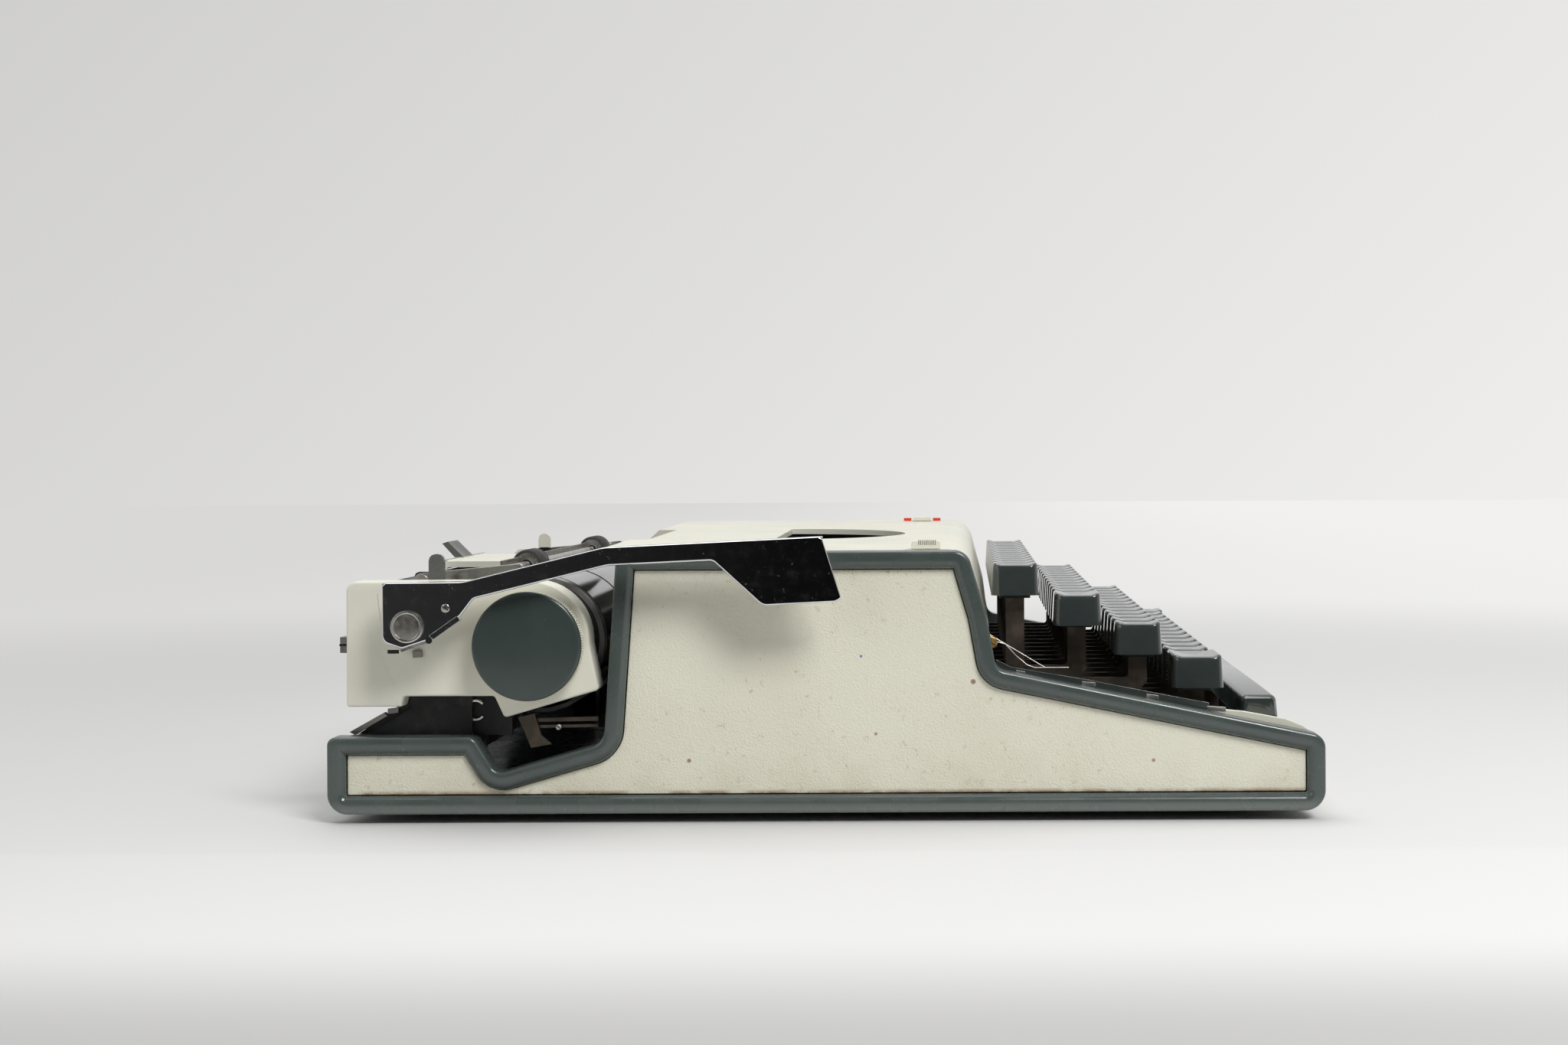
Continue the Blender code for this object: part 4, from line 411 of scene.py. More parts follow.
class Piece:
    """A mesh put together from simple closed shapes, then named, finished and hung on a body."""

    def __init__(self):
        self.bm = bmesh.new()
        self.materials = []

    def slot_of(self, mat):
        if mat not in self.materials:
            self.materials.append(mat)
        return self.materials.index(mat)

    def loft(self, loops, mat, ring=False):
        rows = [[self.bm.verts.new(point) for point in loop] for loop in loops]
        pairs = list(zip(rows, rows[1:]))
        if ring:
            pairs.append((rows[-1], rows[0]))
        faces = []
        for low, high in pairs:
            count = len(low)
            for k in range(count):
                after = (k + 1) % count
                faces.append(self.bm.faces.new((low[k], low[after], high[after], high[k])))
        if not ring:
            faces.append(self.bm.faces.new(rows[0]))
            faces.append(self.bm.faces.new(rows[-1]))
        index = self.slot_of(mat)
        for face in faces:
            face.material_index = index
        return self

    def prism(self, outline, x_from, x_to, mat):
        return self.loft([across(outline, x_from), across(outline, x_to)], mat)

    def box(self, low, high, mat):
        outline = [(low[1], low[2]), (high[1], low[2]), (high[1], high[2]), (low[1], high[2])]
        return self.prism(outline, low[0], high[0], mat)

    def turned_x(self, profile, y, z, mat, sides=48, ring=False):
        loops = [across(circle(radius, sides, (y, z)), x) for x, radius in profile]
        return self.loft(loops, mat, ring)

    def wire(self, path, radius, mat, sides=8):
        """A round wire or rod along a path of points."""
        points = [Vector(point) for point in path]
        loops = []
        guide = Vector((0.31, 0.17, 0.93))
        for k, point in enumerate(points):
            way = (points[min(k + 1, len(points) - 1)] - points[max(k - 1, 0)]).normalized()
            first = way.cross(guide).normalized()
            second = way.cross(first)
            loop = []
            for step in range(sides):
                turn = 2 * math.pi * step / sides
                loop.append(point + (first * math.cos(turn) + second * math.sin(turn)) * radius)
            loops.append(loop)
        return self.loft(loops, mat)

    def done(self, name, body, bevel=0.0, nodes=(), slot=None, angle=35, segments=2):
        return settle(raw_object(self, name), body, bevel, nodes, angle, segments)


def add_bevel(obj, width, angle=35, segments=2):
    modifier = obj.modifiers.new("edges", "BEVEL")
    modifier.width = width
    modifier.segments = segments
    modifier.limit_method = "ANGLE"
    modifier.angle_limit = math.radians(angle)
    modifier.harden_normals = True
    modifier.use_clamp_overlap = True


def cut_mesh(obj, cutters):
    """Cuts the cutters, unlinked pieces of this script, out of a mesh."""
    for cutter in cutters:
        modifier = obj.modifiers.new("cut", "BOOLEAN")
        modifier.operation = "DIFFERENCE"
        modifier.solver = "EXACT"
        modifier.object = cutter
        bpy.context.view_layer.update()
        graph = bpy.context.evaluated_depsgraph_get()
        mesh = bpy.data.meshes.new_from_object(obj.evaluated_get(graph))
        obj.modifiers.remove(modifier)
        obj.data = mesh
        bpy.data.objects.remove(cutter, do_unlink=True)


def raw_object(piece, name):
    """A Piece as an object that no body carries yet."""
    bmesh.ops.recalc_face_normals(piece.bm, faces=piece.bm.faces)
    mesh = bpy.data.meshes.new(name)
    piece.bm.to_mesh(mesh)
    piece.bm.free()
    for mat in piece.materials:
        mesh.materials.append(mat)
    obj = bpy.data.objects.new(name, mesh)
    bpy.context.scene.collection.objects.link(obj)
    return obj


def settle(obj, body, bevel, nodes=(), angle=35, segments=2):
    """Smooth faces, small bevels and the body that carries the object."""
    obj.data.shade_smooth()
    obj.data.set_sharp_from_angle(angle=math.radians(angle))
    if bevel:
        add_bevel(obj, bevel, angle, segments)
    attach(obj, body)
    if nodes:
        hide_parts(*nodes)
    return obj


class Nodes:
    """Shorthand for a node tree whose patterns start from one kind of coordinates."""

    def __init__(self, tree, coordinates):
        self.tree = tree
        self.place = self.node("ShaderNodeTexCoord").outputs[coordinates]

    def node(self, kind, **settings):
        made = self.tree.nodes.new(kind)
        for key, value in settings.items():
            setattr(made, key, value)
        return made

    def link(self, source, target):
        self.tree.links.new(source, target)

    def ramp(self, value, low, high, out_low=0.0, out_high=1.0, kind="SMOOTHSTEP"):
        ramp = self.node("ShaderNodeMapRange", interpolation_type=kind)
        levels = {"From Min": low, "From Max": high, "To Min": out_low, "To Max": out_high}
        for key, number in levels.items():
            ramp.inputs[key].default_value = number
        self.link(value, ramp.inputs["Value"])
        return ramp.outputs["Result"]

    def axis(self, which):
        split = self.node("ShaderNodeSeparateXYZ")
        self.link(self.place, split.inputs["Vector"])
        return split.outputs[which]

    def math(self, operation, first, second, third=1.0):
        made = self.node("ShaderNodeMath", operation=operation)
        made.inputs[2].default_value = third
        for value, socket in ((first, made.inputs[0]), (second, made.inputs[1])):
            if isinstance(value, (int, float)):
                socket.default_value = value
            else:
                self.link(value, socket)
        return made.outputs["Value"]


materials = {}


class Finish(Nodes):
    """A material with a few shorthand calls for procedural detail, kept in materials by its name."""

    def __init__(self, name, colour, roughness, metallic=0.0, coat=0.0):
        self.mat = materials[name] = bpy.data.materials.new(name)
        self.mat.use_nodes = True
        super().__init__(self.mat.node_tree, "Object")
        self.shader = self.tree.nodes["Principled BSDF"]
        self.colour = (*colour, 1.0)
        self.shader.inputs["Base Color"].default_value = self.colour
        self.shader.inputs["Roughness"].default_value = roughness
        self.shader.inputs["Metallic"].default_value = metallic
        self.shader.inputs["Coat Weight"].default_value = coat
        self.shader.inputs["Coat Roughness"].default_value = 0.12
        self.colour_out = None
        self.height_out = None

    def noise(self, scale, detail=4.0, roughness=0.55, stretch=(1.0, 1.0, 1.0)):
        mapping = self.node("ShaderNodeMapping")
        mapping.inputs["Scale"].default_value = stretch
        self.link(self.place, mapping.inputs["Vector"])
        noise = self.node("ShaderNodeTexNoise")
        noise.inputs["Scale"].default_value = scale
        noise.inputs["Detail"].default_value = detail
        noise.inputs["Roughness"].default_value = roughness
        self.link(mapping.outputs["Vector"], noise.inputs["Vector"])
        return noise.outputs["Fac"]

    def spot(self, centre, radius):
        """1 inside a round spot in the Y-Z plane and 0 outside."""
        distance = self.node("ShaderNodeVectorMath", operation="DISTANCE")
        squashed = self.node("ShaderNodeMapping")
        squashed.inputs["Scale"].default_value = (0.0, 1.0, 1.0)
        self.link(self.place, squashed.inputs["Vector"])
        self.link(squashed.outputs["Vector"], distance.inputs[0])
        distance.inputs[1].default_value = (0.0, centre[0], centre[1])
        return self.ramp(distance.outputs["Value"], radius / 2, radius, 1.0, 0.0)

    def tint(self, amount, colour):
        """Mixes a colour over what is there, by a socket from 0 to 1."""
        mix = self.node("ShaderNodeMix", data_type="RGBA")
        self.link(amount, mix.inputs["Factor"])
        if self.colour_out is None:
            mix.inputs["A"].default_value = self.colour
        else:
            self.link(self.colour_out, mix.inputs["A"])
        mix.inputs["B"].default_value = (*colour, 1.0)
        self.colour_out = mix.outputs["Result"]
        self.link(self.colour_out, self.shader.inputs["Base Color"])

    def rough(self, value, low, high, start=0.3, end=0.7):
        self.link(self.ramp(value, start, end, low, high), self.shader.inputs["Roughness"])

    def bump(self, height, distance, strength=1.0):
        made = self.node("ShaderNodeBump")
        made.inputs["Distance"].default_value = distance
        made.inputs["Strength"].default_value = strength
        self.link(height, made.inputs["Height"])
        if self.height_out is not None:
            self.link(self.height_out, made.inputs["Normal"])
        self.height_out = made.outputs["Normal"]
        self.link(self.height_out, self.shader.inputs["Normal"])


def face_place(px, py, x=FACE_X):
    """Y and Z of a pixel of the photograph, at a plane of constant X."""
    ratio = CAMERA_DISTANCE / (CAMERA_DISTANCE + x - FACE_X)
    px = VANISHING_PIXEL[0] + (px - VANISHING_PIXEL[0]) / ratio
    py = VANISHING_PIXEL[1] + (py - VANISHING_PIXEL[1]) / ratio
    return ((PIXEL_Y_ZERO - px) / FACE_SCALE, (PIXEL_Z_ZERO - py) / FACE_SCALE)


def cream_panel_finish():
    """Grained cream with stains, specks and a dark lower edge."""
    made = Finish("cream_textured_panel", CREAM, 0.62)
    broad = made.noise(26, 3.0)
    made.tint(made.ramp(broad, 0.35, 0.7, 0.0, 0.35), (0.7, 0.67, 0.53))
    blotches = made.ramp(made.noise(70, 5.0), 0.4, 0.66)
    low = made.math("MULTIPLY", made.ramp(made.axis("Z"), 0.006, 0.03, 1.0, 0.0), blotches)
    made.tint(made.math("MULTIPLY", low, 0.22), (0.5, 0.42, 0.3))
    edge = made.ramp(made.axis("Z"), 0.0092, 0.0112, 1.0, 0.0)
    dirt = made.ramp(made.noise(110, 3.0), 0.3, 0.6)
    made.tint(made.math("MULTIPLY", edge, dirt), (0.3, 0.19, 0.1))
    specks = made.ramp(made.noise(260, 7.0, 0.8), 0.58, 0.66)
    stains = made.math("MULTIPLY", specks, made.ramp(broad, 0.35, 0.5))
    made.tint(made.math("MULTIPLY", stains, 0.6), (0.46, 0.34, 0.2))
    for px, py, radius, colour in PANEL_SPOTS:
        made.tint(made.math("MULTIPLY", made.spot(face_place(px, py), radius), 0.8), colour)
    made.bump(made.noise(1500, 2.0, 0.6), 0.0004, 0.8)
    made.rough(made.noise(900, 2.0), 0.52, 0.72)
    return made.mat


def plain_finish(name, colour, roughness, *tints, bump=None, rough=None, metallic=0.0, coat=0.0):
    """A finish made of noise alone.

    A tint is (noise, start, end, amount, colour), bump is (noise, distance, strength), rough is
    (noise, lowest, highest, start, end) and a noise is (scale, detail, roughness, stretch).
    """
    made = Finish(name, colour, roughness, metallic, coat)
    for noise, start, end, amount, tint in tints:
        made.tint(made.ramp(made.noise(*noise), start, end, 0.0, amount), tint)
    if bump:
        made.bump(made.noise(*bump[0]), *bump[1:])
    if rough:
        made.rough(made.noise(*rough[0]), *rough[1:])
    return made


cream_panel = cream_panel_finish()
CREAM_MOTTLE = ((30, 3.0), 0.4, 0.72, 0.4, (0.7, 0.68, 0.55))
cream = plain_finish(
    "cream_plastic", (0.76, 0.75, 0.64), 0.34,
    CREAM_MOTTLE, ((260, 6.0, 0.7), 0.66, 0.74, 0.3, (0.4, 0.32, 0.2)),
    bump=((1700, 2.0), 0.00008, 0.3), rough=((60, 3.0), 0.28, 0.48),
).mat

# Cream, with a grey-green finger tab at its upper end
support = plain_finish(
    "paper_support", (0.76, 0.75, 0.64), 0.34, CREAM_MOTTLE, rough=((60, 3.0), 0.28, 0.48)
)
support.tint(support.ramp(support.axis("Z"), 0.0822, 0.0828), (0.11, 0.115, 0.105))

# Grey-green, paler along the bottom, where a painted reflection of the pale floor lies
frame_finish = plain_finish(
    "grey_green_trim", (0.062, 0.079, 0.073), 0.22,
    ((45, 4.0), 0.4, 0.75, 0.4, (0.084, 0.102, 0.094)),
    ((700, 3.0), 0.68, 0.76, 0.4, (0.25, 0.25, 0.22)),
    bump=((1100, 2.0), 0.00005, 0.35), rough=((80, 4.0), 0.18, 0.38), coat=0.3,
)
# Painted reflection of the floor: the trim's lowest few millimetres are paler
frame_finish.tint(
    frame_finish.ramp(frame_finish.axis("Z"), 0.003, 0.0085, 0.85, 0.0), (0.17, 0.19, 0.18)
)
trim = frame_finish.mat
knob_face = plain_finish(
    "knob_face", (0.037, 0.051, 0.048), 0.3,
    ((70, 3.0), 0.35, 0.75, 0.5, (0.046, 0.061, 0.057)),
    ((900, 5.0), 0.68, 0.76, 0.4, (0.11, 0.125, 0.12)),
    bump=((700, 3.0), 0.00006, 0.4), rough=((90, 2.0), 0.28, 0.34), coat=0.2,
).mat
key_finish = plain_finish(
    "key_plastic", (0.038, 0.047, 0.045), 0.2, ((90, 3.0), 0.4, 0.7, 0.5, (0.05, 0.06, 0.057)),
    rough=((150, 3.0), 0.07, 0.14), coat=0.8,
)
key_finish.shader.inputs["Coat Roughness"].default_value = 0.04
key_black = key_finish.mat
grip = plain_finish(
    "grip_grey", (0.27, 0.27, 0.25), 0.5, ((500, 3.0), 0.4, 0.7, 0.7, (0.16, 0.16, 0.15)),
    rough=((300, 3.0), 0.4, 0.6),
).mat
plain_finish(
    "tab_grey_green", (0.12, 0.125, 0.115), 0.3, ((200, 3.0), 0.4, 0.7, 0.5, (0.15, 0.15, 0.14)),
    rough=((250, 3.0), 0.22, 0.4), coat=0.2,
)
dull_nickel = plain_finish(
    "dull_nickel", (0.33, 0.315, 0.28), 0.35, ((260, 5.0), 0.45, 0.75, 0.7, (0.2, 0.19, 0.165)),
    bump=((900, 3.0), 0.00005, 0.4), rough=((240, 4.0), 0.28, 0.5), metallic=1.0,
).mat
brushed = plain_finish(
    "brushed_sleeve", (0.3, 0.3, 0.29), 0.35,
    ((120, 5.0, 0.55, (6.0, 1.0, 1.0)), 0.4, 0.7, 0.7, (0.16, 0.16, 0.155)),
    rough=((120, 4.0, 0.55, (4.0, 1.0, 1.0)), 0.28, 0.5), metallic=0.6,
).mat
black_steel = plain_finish(
    "black_steel", (0.02, 0.02, 0.021), 0.42, ((140, 5.0), 0.5, 0.75, 0.6, (0.06, 0.052, 0.045)),
    bump=((700, 3.0), 0.00008, 0.4), rough=((110, 4.0), 0.3, 0.6), metallic=0.6,
).mat
lever_steel = plain_finish(
    "key_lever_steel", (0.085, 0.07, 0.055), 0.4, ((170, 5.0), 0.45, 0.75, 0.7, (0.17, 0.13, 0.095)),
    bump=((600, 3.0, 0.55, (1.0, 0.2, 1.0)), 0.00006, 0.4), rough=((130, 4.0), 0.3, 0.6), metallic=0.7,
).mat
bright_steel = plain_finish(
    "bright_steel", (0.56, 0.55, 0.52), 0.3, ((160, 5.0), 0.5, 0.8, 0.7, (0.3, 0.27, 0.22)),
    bump=((900, 3.0), 0.00004, 0.3), rough=((200, 4.0), 0.22, 0.45), metallic=1.0,
).mat

# Chrome, dull where dust lies
DUST = ((700, 6.0, 0.85), 0.62, 0.67)
chrome_finish = plain_finish(
    "chrome", (0.72, 0.73, 0.75), 0.08, (*DUST, 0.6, (0.5, 0.5, 0.5)),
    bump=((500, 5.0), 0.00002, 0.4), rough=((260, 5.0), 0.05, 0.16, 0.4, 0.8), metallic=1.0,
)
dust = chrome_finish.ramp(chrome_finish.noise(*DUST[0]), *DUST[1:])
shine = chrome_finish.math("MULTIPLY_ADD", dust, -0.35)
chrome_finish.link(shine, chrome_finish.shader.inputs["Metallic"])
chrome = chrome_finish.mat
rubber = plain_finish(
    "rubber", (0.022, 0.021, 0.02), 0.6, ((300, 5.0), 0.5, 0.8, 0.5, (0.07, 0.06, 0.05)),
    bump=((1200, 3.0), 0.0001, 0.4), rough=((160, 3.0), 0.5, 0.75),
).mat
platen_black = plain_finish(
    "platen_rubber", (0.035, 0.035, 0.036), 0.18,
    ((60, 5.0, 0.55, (0.3, 1.0, 1.0)), 0.4, 0.75, 0.5, (0.07, 0.07, 0.068)),
    bump=((800, 4.0, 0.55, (0.15, 1.0, 1.0)), 0.00006, 0.4),
    rough=((90, 4.0, 0.55, (0.2, 1.0, 1.0)), 0.12, 0.22), coat=0.9,
).mat

# Woven ink ribbon
cloth = plain_finish(
    "ribbon_cloth", (0.012, 0.012, 0.016), 0.85, ((200, 4.0), 0.4, 0.7, 0.6, (0.03, 0.028, 0.035))
)
weave = cloth.node("ShaderNodeTexWave")
weave.inputs["Scale"].default_value = 900.0
cloth.link(cloth.place, weave.inputs["Vector"])
cloth.bump(weave.outputs["Fac"], 0.0001, 0.5)
brass = plain_finish(
    "brass", (0.55, 0.36, 0.14), 0.3, ((500, 4.0), 0.45, 0.75, 0.7, (0.2, 0.12, 0.05)),
    rough=((400, 3.0), 0.25, 0.5), metallic=1.0,
).mat
red = plain_finish("red_mark", RED, 0.4, ((900, 3.0), 0.5, 0.8, 0.4, (0.5, 0.1, 0.08))).mat

# CAD nodes whose finish isn't the one of their material slot
NODE_FINISHES = {
    "carriage_release_left": "tab_grey_green",
    "carriage_release_right": "tab_grey_green",
    "lever_pivot": "dull_nickel",
    "paper_support": "paper_support",
}
BEVELLED_NODES = (
    "main_chassis", "carriage_rail", "carriage_frame", "lower_casing", "front_panel", "paper_table"
)


def dress_cad_nodes():
    """Every CAD node gets its finish, and the visible steel ones a small bevel."""
    for part in frame["record"]["subparts"]:
        node = frame["nodes"][part["node"]]
        node.data.materials.clear()
        name = NODE_FINISHES.get(part["node"], part["material_slot"])
        node.data.materials.append(materials[name])
    for name in BEVELLED_NODES:
        add_bevel(frame["nodes"][name], CAD_BEVEL)


def frame_corner_list():
    pairs = zip(FRAME_CORNER_shares, FRAME_CORNER_RADII)
    return [(y * HALF_DEPTH, z * FRAME_TOP, radius) for (y, z), radius in pairs]


def dress_side_frames():
    corners = frame_corner_list()
    rim = FRAME_TRIM + FRAME_BEVEL
    sections = [(0.0, FRAME_THICKNESS), *quarter_round(FRAME_EDGE)]
    sections += [(FRAME_TRIM - 0.0004, 0.0), (FRAME_TRIM, 0.00012)]
    sections += [(rim - 0.0003, FRAME_BEVEL - 0.0004), (rim, FRAME_BEVEL + 0.0002)]
    sections.append((rim, PANEL_RECESS + PANEL_THICKNESS + FIT_GAP))
    for side, label in ((-1, "left"), (1, "right")):
        face = -side * FACE_X
        loops = [across(rounded(corners, inset), face - side * depth) for inset, depth in sections]
        piece = Piece().loft(loops, trim)
        nodes = [f"{label}_side_frame"]
        piece.done(f"side_frame_{label}", "casing", nodes=nodes, slot="grey_green_trim", angle=50)
        outline = rounded(corners, rim + FIT_GAP)
        outer = face - side * PANEL_RECESS
        panel = Piece().prism(outline, outer, outer - side * PANEL_THICKNESS, cream_panel)
        nodes = [f"{label}_side_panel"]
        panel.done(f"side_panel_{label}", "casing", 0.00025, nodes, "cream_textured_panel", segments=1)


def dress_end_covers():
    place = (PLATEN_Y, PLATEN_Z)
    corners = shares_to_corners(END_COVER_shares, place, END_COVER_LENGTH, END_COVER_HEIGHT)
    sections = [(0.0, END_COVER_THICKNESS), *quarter_round(END_COVER_EDGE)]
    for side, label in ((-1, "left"), (1, "right")):
        face = side * CARRIAGE_HALF_WIDTH
        loops = [across(rounded(corners, inset), face - side * depth) for inset, depth in sections]
        cover = raw_object(Piece().loft(loops, cream), f"end_cover_{label}")
        ends = (face - side * (END_COVER_THICKNESS + CUT_REACH), face + side * CUT_REACH)
        hole = Piece().turned_x([(x, END_COVER_HOLE) for x in ends], *place, cream)
        cut_mesh(cover, [raw_object(hole, "hole")])
        settle(cover, "carriage", 0.0, [f"{label}_end_cover"], angle=40)


def dress_knobs():
    for side, label, end in ((-1, "left", KNOB_LEFT_END), (1, "right", KNOB_RIGHT_END)):
        piece = Piece()
        sides = KNOB_RIDGES * 4
        ridged = (0.0, 1.0, 1.0, 0.0)

        def ridge_loop(x, radius, depth):
            loop = []
            for k in range(sides):
                turn = 2 * math.pi * k / sides
                reach = radius - depth * ridged[k % 4]
                y = PLATEN_Y + reach * math.cos(turn)
                loop.append(Vector((x, y, PLATEN_Z + reach * math.sin(turn))))
            return loop

        start = side * KNOB_START
        far = side * end
        seat = far - side * KNOB_FACE_DEPTH
        loops = [
            ridge_loop(side * KNOB_BORE_END, KNOB_BORE, 0.0),
            ridge_loop(start, KNOB_BORE, 0.0),
            ridge_loop(start, KNOB_RADIUS - 0.0012, 0.0),
            ridge_loop(start + side * 0.0007, KNOB_RADIUS - 0.0001, KNOB_RIDGE_DEPTH),
            ridge_loop(seat - side * 0.0006, KNOB_RADIUS, KNOB_RIDGE_DEPTH),
            ridge_loop(seat, KNOB_RADIUS - 0.0003, KNOB_RIDGE_DEPTH / 2),
        ]
        piece.loft(loops, cream)
        face_profile = [
            (seat - side * 0.0004, KNOB_FACE_RADIUS - 0.0002),
            (far - side * 0.0009, KNOB_FACE_RADIUS),
            (far - side * 0.0004, KNOB_FACE_RADIUS - 0.0002),
            (far - side * 0.0001, KNOB_FACE_RADIUS - 0.0006),
            (far, KNOB_FACE_RADIUS - 0.0012),
            (far, 0.0002),
        ]
        piece.turned_x(face_profile, PLATEN_Y, PLATEN_Z, knob_face, 120)
        nodes = [f"{label}_platen_knob"]
        piece.done(f"platen_knob_{label}", "platen", nodes=nodes, slot="key_plastic", angle=30)


def dress_platen():
    piece = Piece()
    profile = [
        (-PLATEN_HALF, PLATEN_BORE),
        (-PLATEN_HALF, PLATEN_RADIUS - 0.0005),
        (-PLATEN_HALF + 0.0005, PLATEN_RADIUS),
        (PLATEN_HALF - 0.0005, PLATEN_RADIUS),
        (PLATEN_HALF, PLATEN_RADIUS - 0.0005),
        (PLATEN_HALF, PLATEN_BORE),
    ]
    piece.turned_x(profile, PLATEN_Y, PLATEN_Z, platen_black, PLATEN_SIDES, ring=True)
    piece.done("platen_roller", "platen", nodes=["platen"], slot="platen_rubber")


def dress_bail():
    for side, label in ((-1, "left"), (1, "right")):
        start = side * ROLLER_X - ROLLER_LENGTH / 2
        end = side * ROLLER_X + ROLLER_LENGTH / 2
        piece = Piece()
        profile = [
            (start, ROLLER_BORE),
            (start, ROLLER_RADIUS - 0.0012),
            (start + 0.0004, ROLLER_RADIUS - 0.0003),
            (start + 0.0012, ROLLER_RADIUS),
            (end - 0.0012, ROLLER_RADIUS),
            (end - 0.0004, ROLLER_RADIUS - 0.0003),
            (end, ROLLER_RADIUS - 0.0012),
            (end, ROLLER_BORE),
        ]
        piece.turned_x(profile, *BAIL_ROD, rubber, 40, ring=True)
        for x in (start, end):
            washer = tube(x - WASHER_HALF, x + WASHER_HALF, WASHER_BORE, WASHER_RADIUS)
            piece.turned_x(washer, *BAIL_ROD, bright_steel, 40, ring=True)
        name = f"bail_roller_{label}"
        piece.done(f"roller_{label}", name, nodes=[name], slot="rubber")
    start = Vector(BAIL_PIVOT)
    way = (Vector(BAIL_ROD) - start).normalized()
    side_way = Vector((-way.y, way.x))
    tip = Vector(BAIL_ROD) + way * 0.0055
    corners = [
        (*(start - way * 0.0027 + side_way * 0.00275), 0.0024),
        (*(start - way * 0.0027 - side_way * 0.00275), 0.0024),
        (*(tip - side_way * 0.0014), 0.0012),
        (*(tip + side_way * 0.0027), 0.0012),
    ]
    piece = Piece()
    arm = rounded(corners, steps=6)
    for side in (-1, 1):
        piece.prism(arm, *(side * x for x in BAIL_ARM_X), bright_steel)
        boss = [(side * 0.1172, 0.0022), (side * 0.1194, 0.0022), (side * 0.1194, 0.0004)]
        piece.turned_x(boss, *BAIL_PIVOT, bright_steel, 24)
    rod_ends = [(side * BAIL_ROD_HALF, BAIL_ROD_RADIUS) for side in (-1, 1)]
    piece.turned_x(rod_ends, *BAIL_ROD, bright_steel, 24)
    piece.done("bail_bar", "paper_bail", 0.0002, ["paper_bail"], "bright_steel")


def dress_return_lever():
    corners = shares_to_corners(LEVER_shares, LEVER_PIVOT, LEVER_LENGTH)
    outer = LEVER_OUTER_X
    inner = outer + LEVER_SHEET
    lever = raw_object(Piece().prism(rounded(corners), outer, inner, chrome), "lever_arm")
    ends = [(x, LEVER_HOLE) for x in (outer - 0.002, inner + 0.002)]
    hole = Piece().turned_x(ends, *LEVER_PIVOT, chrome, 40)
    cut_mesh(lever, [raw_object(hole, "hole")])
    settle(lever, "return_lever", 0.00055, ["return_lever"], segments=3)
    path = [(y, z) for y, z, _radius in corners[LEVER_TOP_CORNERS]]
    flange = Piece().prism(strip(path, -LEVER_SHEET), outer + 0.0003, outer + LEVER_FLANGE, chrome)
    flange.done("lever_flange", "return_lever", 0.0003, slot="chrome")
    small = Piece()
    add_screw(small, LEVER_SCREW_PIXEL, outer, outer, 0.0014, bright_steel)
    small.done("lever_screw", "return_lever", 0.0001, slot="chrome")
    lip = Piece()
    add_shapes(lip, LEVER_SHAPES, outer)
    # The dimple is a black disc, painted shade in place of a hollow
    dimple = [(x, 0.0011) for x in (outer - 0.0001, outer + 0.0001)]
    lip.turned_x(dimple, *face_place(*LEVER_DIMPLE_PIXEL, outer - 0.0001), black_steel, 20)
    lip.done("lever_lip", "return_lever", 0.0002, slot="chrome")
    pivot = Piece()
    profile = [
        (-CARRIAGE_HALF_WIDTH - 0.0001, STUD_RADIUS),
        (inner + 0.0003, STUD_RADIUS),
        (inner + 0.0003, STUD_WAIST),
        (outer - 0.0003, STUD_WAIST),
        (outer - 0.0003, STUD_RADIUS),
        (STUD_END_X + 0.0001, STUD_RADIUS),
        (STUD_END_X, STUD_RADIUS - 0.0003),
        (STUD_END_X, 0.0003),
    ]
    pivot.turned_x(profile, *LEVER_PIVOT, dull_nickel, 48)
    ring = [(outer - 0.0003, 0.0042), (outer - 0.0003, 0.0052), (-0.1704, 0.0052)]
    ring += [(-0.1705, 0.0049), (-0.1705, 0.0044), (-0.1704, 0.0042)]
    pivot.turned_x(ring, *LEVER_PIVOT, bright_steel, 48, ring=True)
    pivot.done("lever_stud", "carriage", nodes=["lever_pivot"], slot="bright_steel")


def cut_out(piece, pixels, x_from, x_to, mat):
    """A flat piece whose near face fills an outline read from the photograph."""
    piece.prism([face_place(px, py, x_from) for px, py in pixels], x_from, x_to, mat)


def add_shapes(piece, shapes, plane):
    for name, start, end, pixels in shapes:
        cut_out(piece, pixels, plane + start, plane + end, materials[name])


def rod(piece, pixels, x, radius, mat):
    """A thin wire in a plane of constant X along a path read from the photograph."""
    piece.wire([(x, *face_place(px, py, x)) for px, py in pixels], radius, mat, 6)


def dress_notch():
    """Small parts seen between the carriage's end cover and the side frame's notch."""
    piece = Piece()
    add_shapes(piece, NOTCH_SHAPES, NOTCH_X)
    px, py = NOTCH_HOOK_PIXEL
    reach = NOTCH_HOOK_PIXEL_RADIUS
    turns = [math.radians(40 + 20 * k) for k in range(15)]
    hook = [(px + reach * math.cos(turn), py - reach * math.sin(turn)) for turn in turns]
    rod(piece, hook, NOTCH_X + NOTCH_HOOK_WIRE, NOTCH_HOOK_WIRE, bright_steel)
    for pixel, radius, name in NOTCH_SCREWS:
        add_screw(piece, pixel, NOTCH_X, NOTCH_X + SCREW_HEIGHT, radius, materials[name])
    piece.done("notch_parts", "carriage", 0.00015, slot="bright_steel", segments=1)


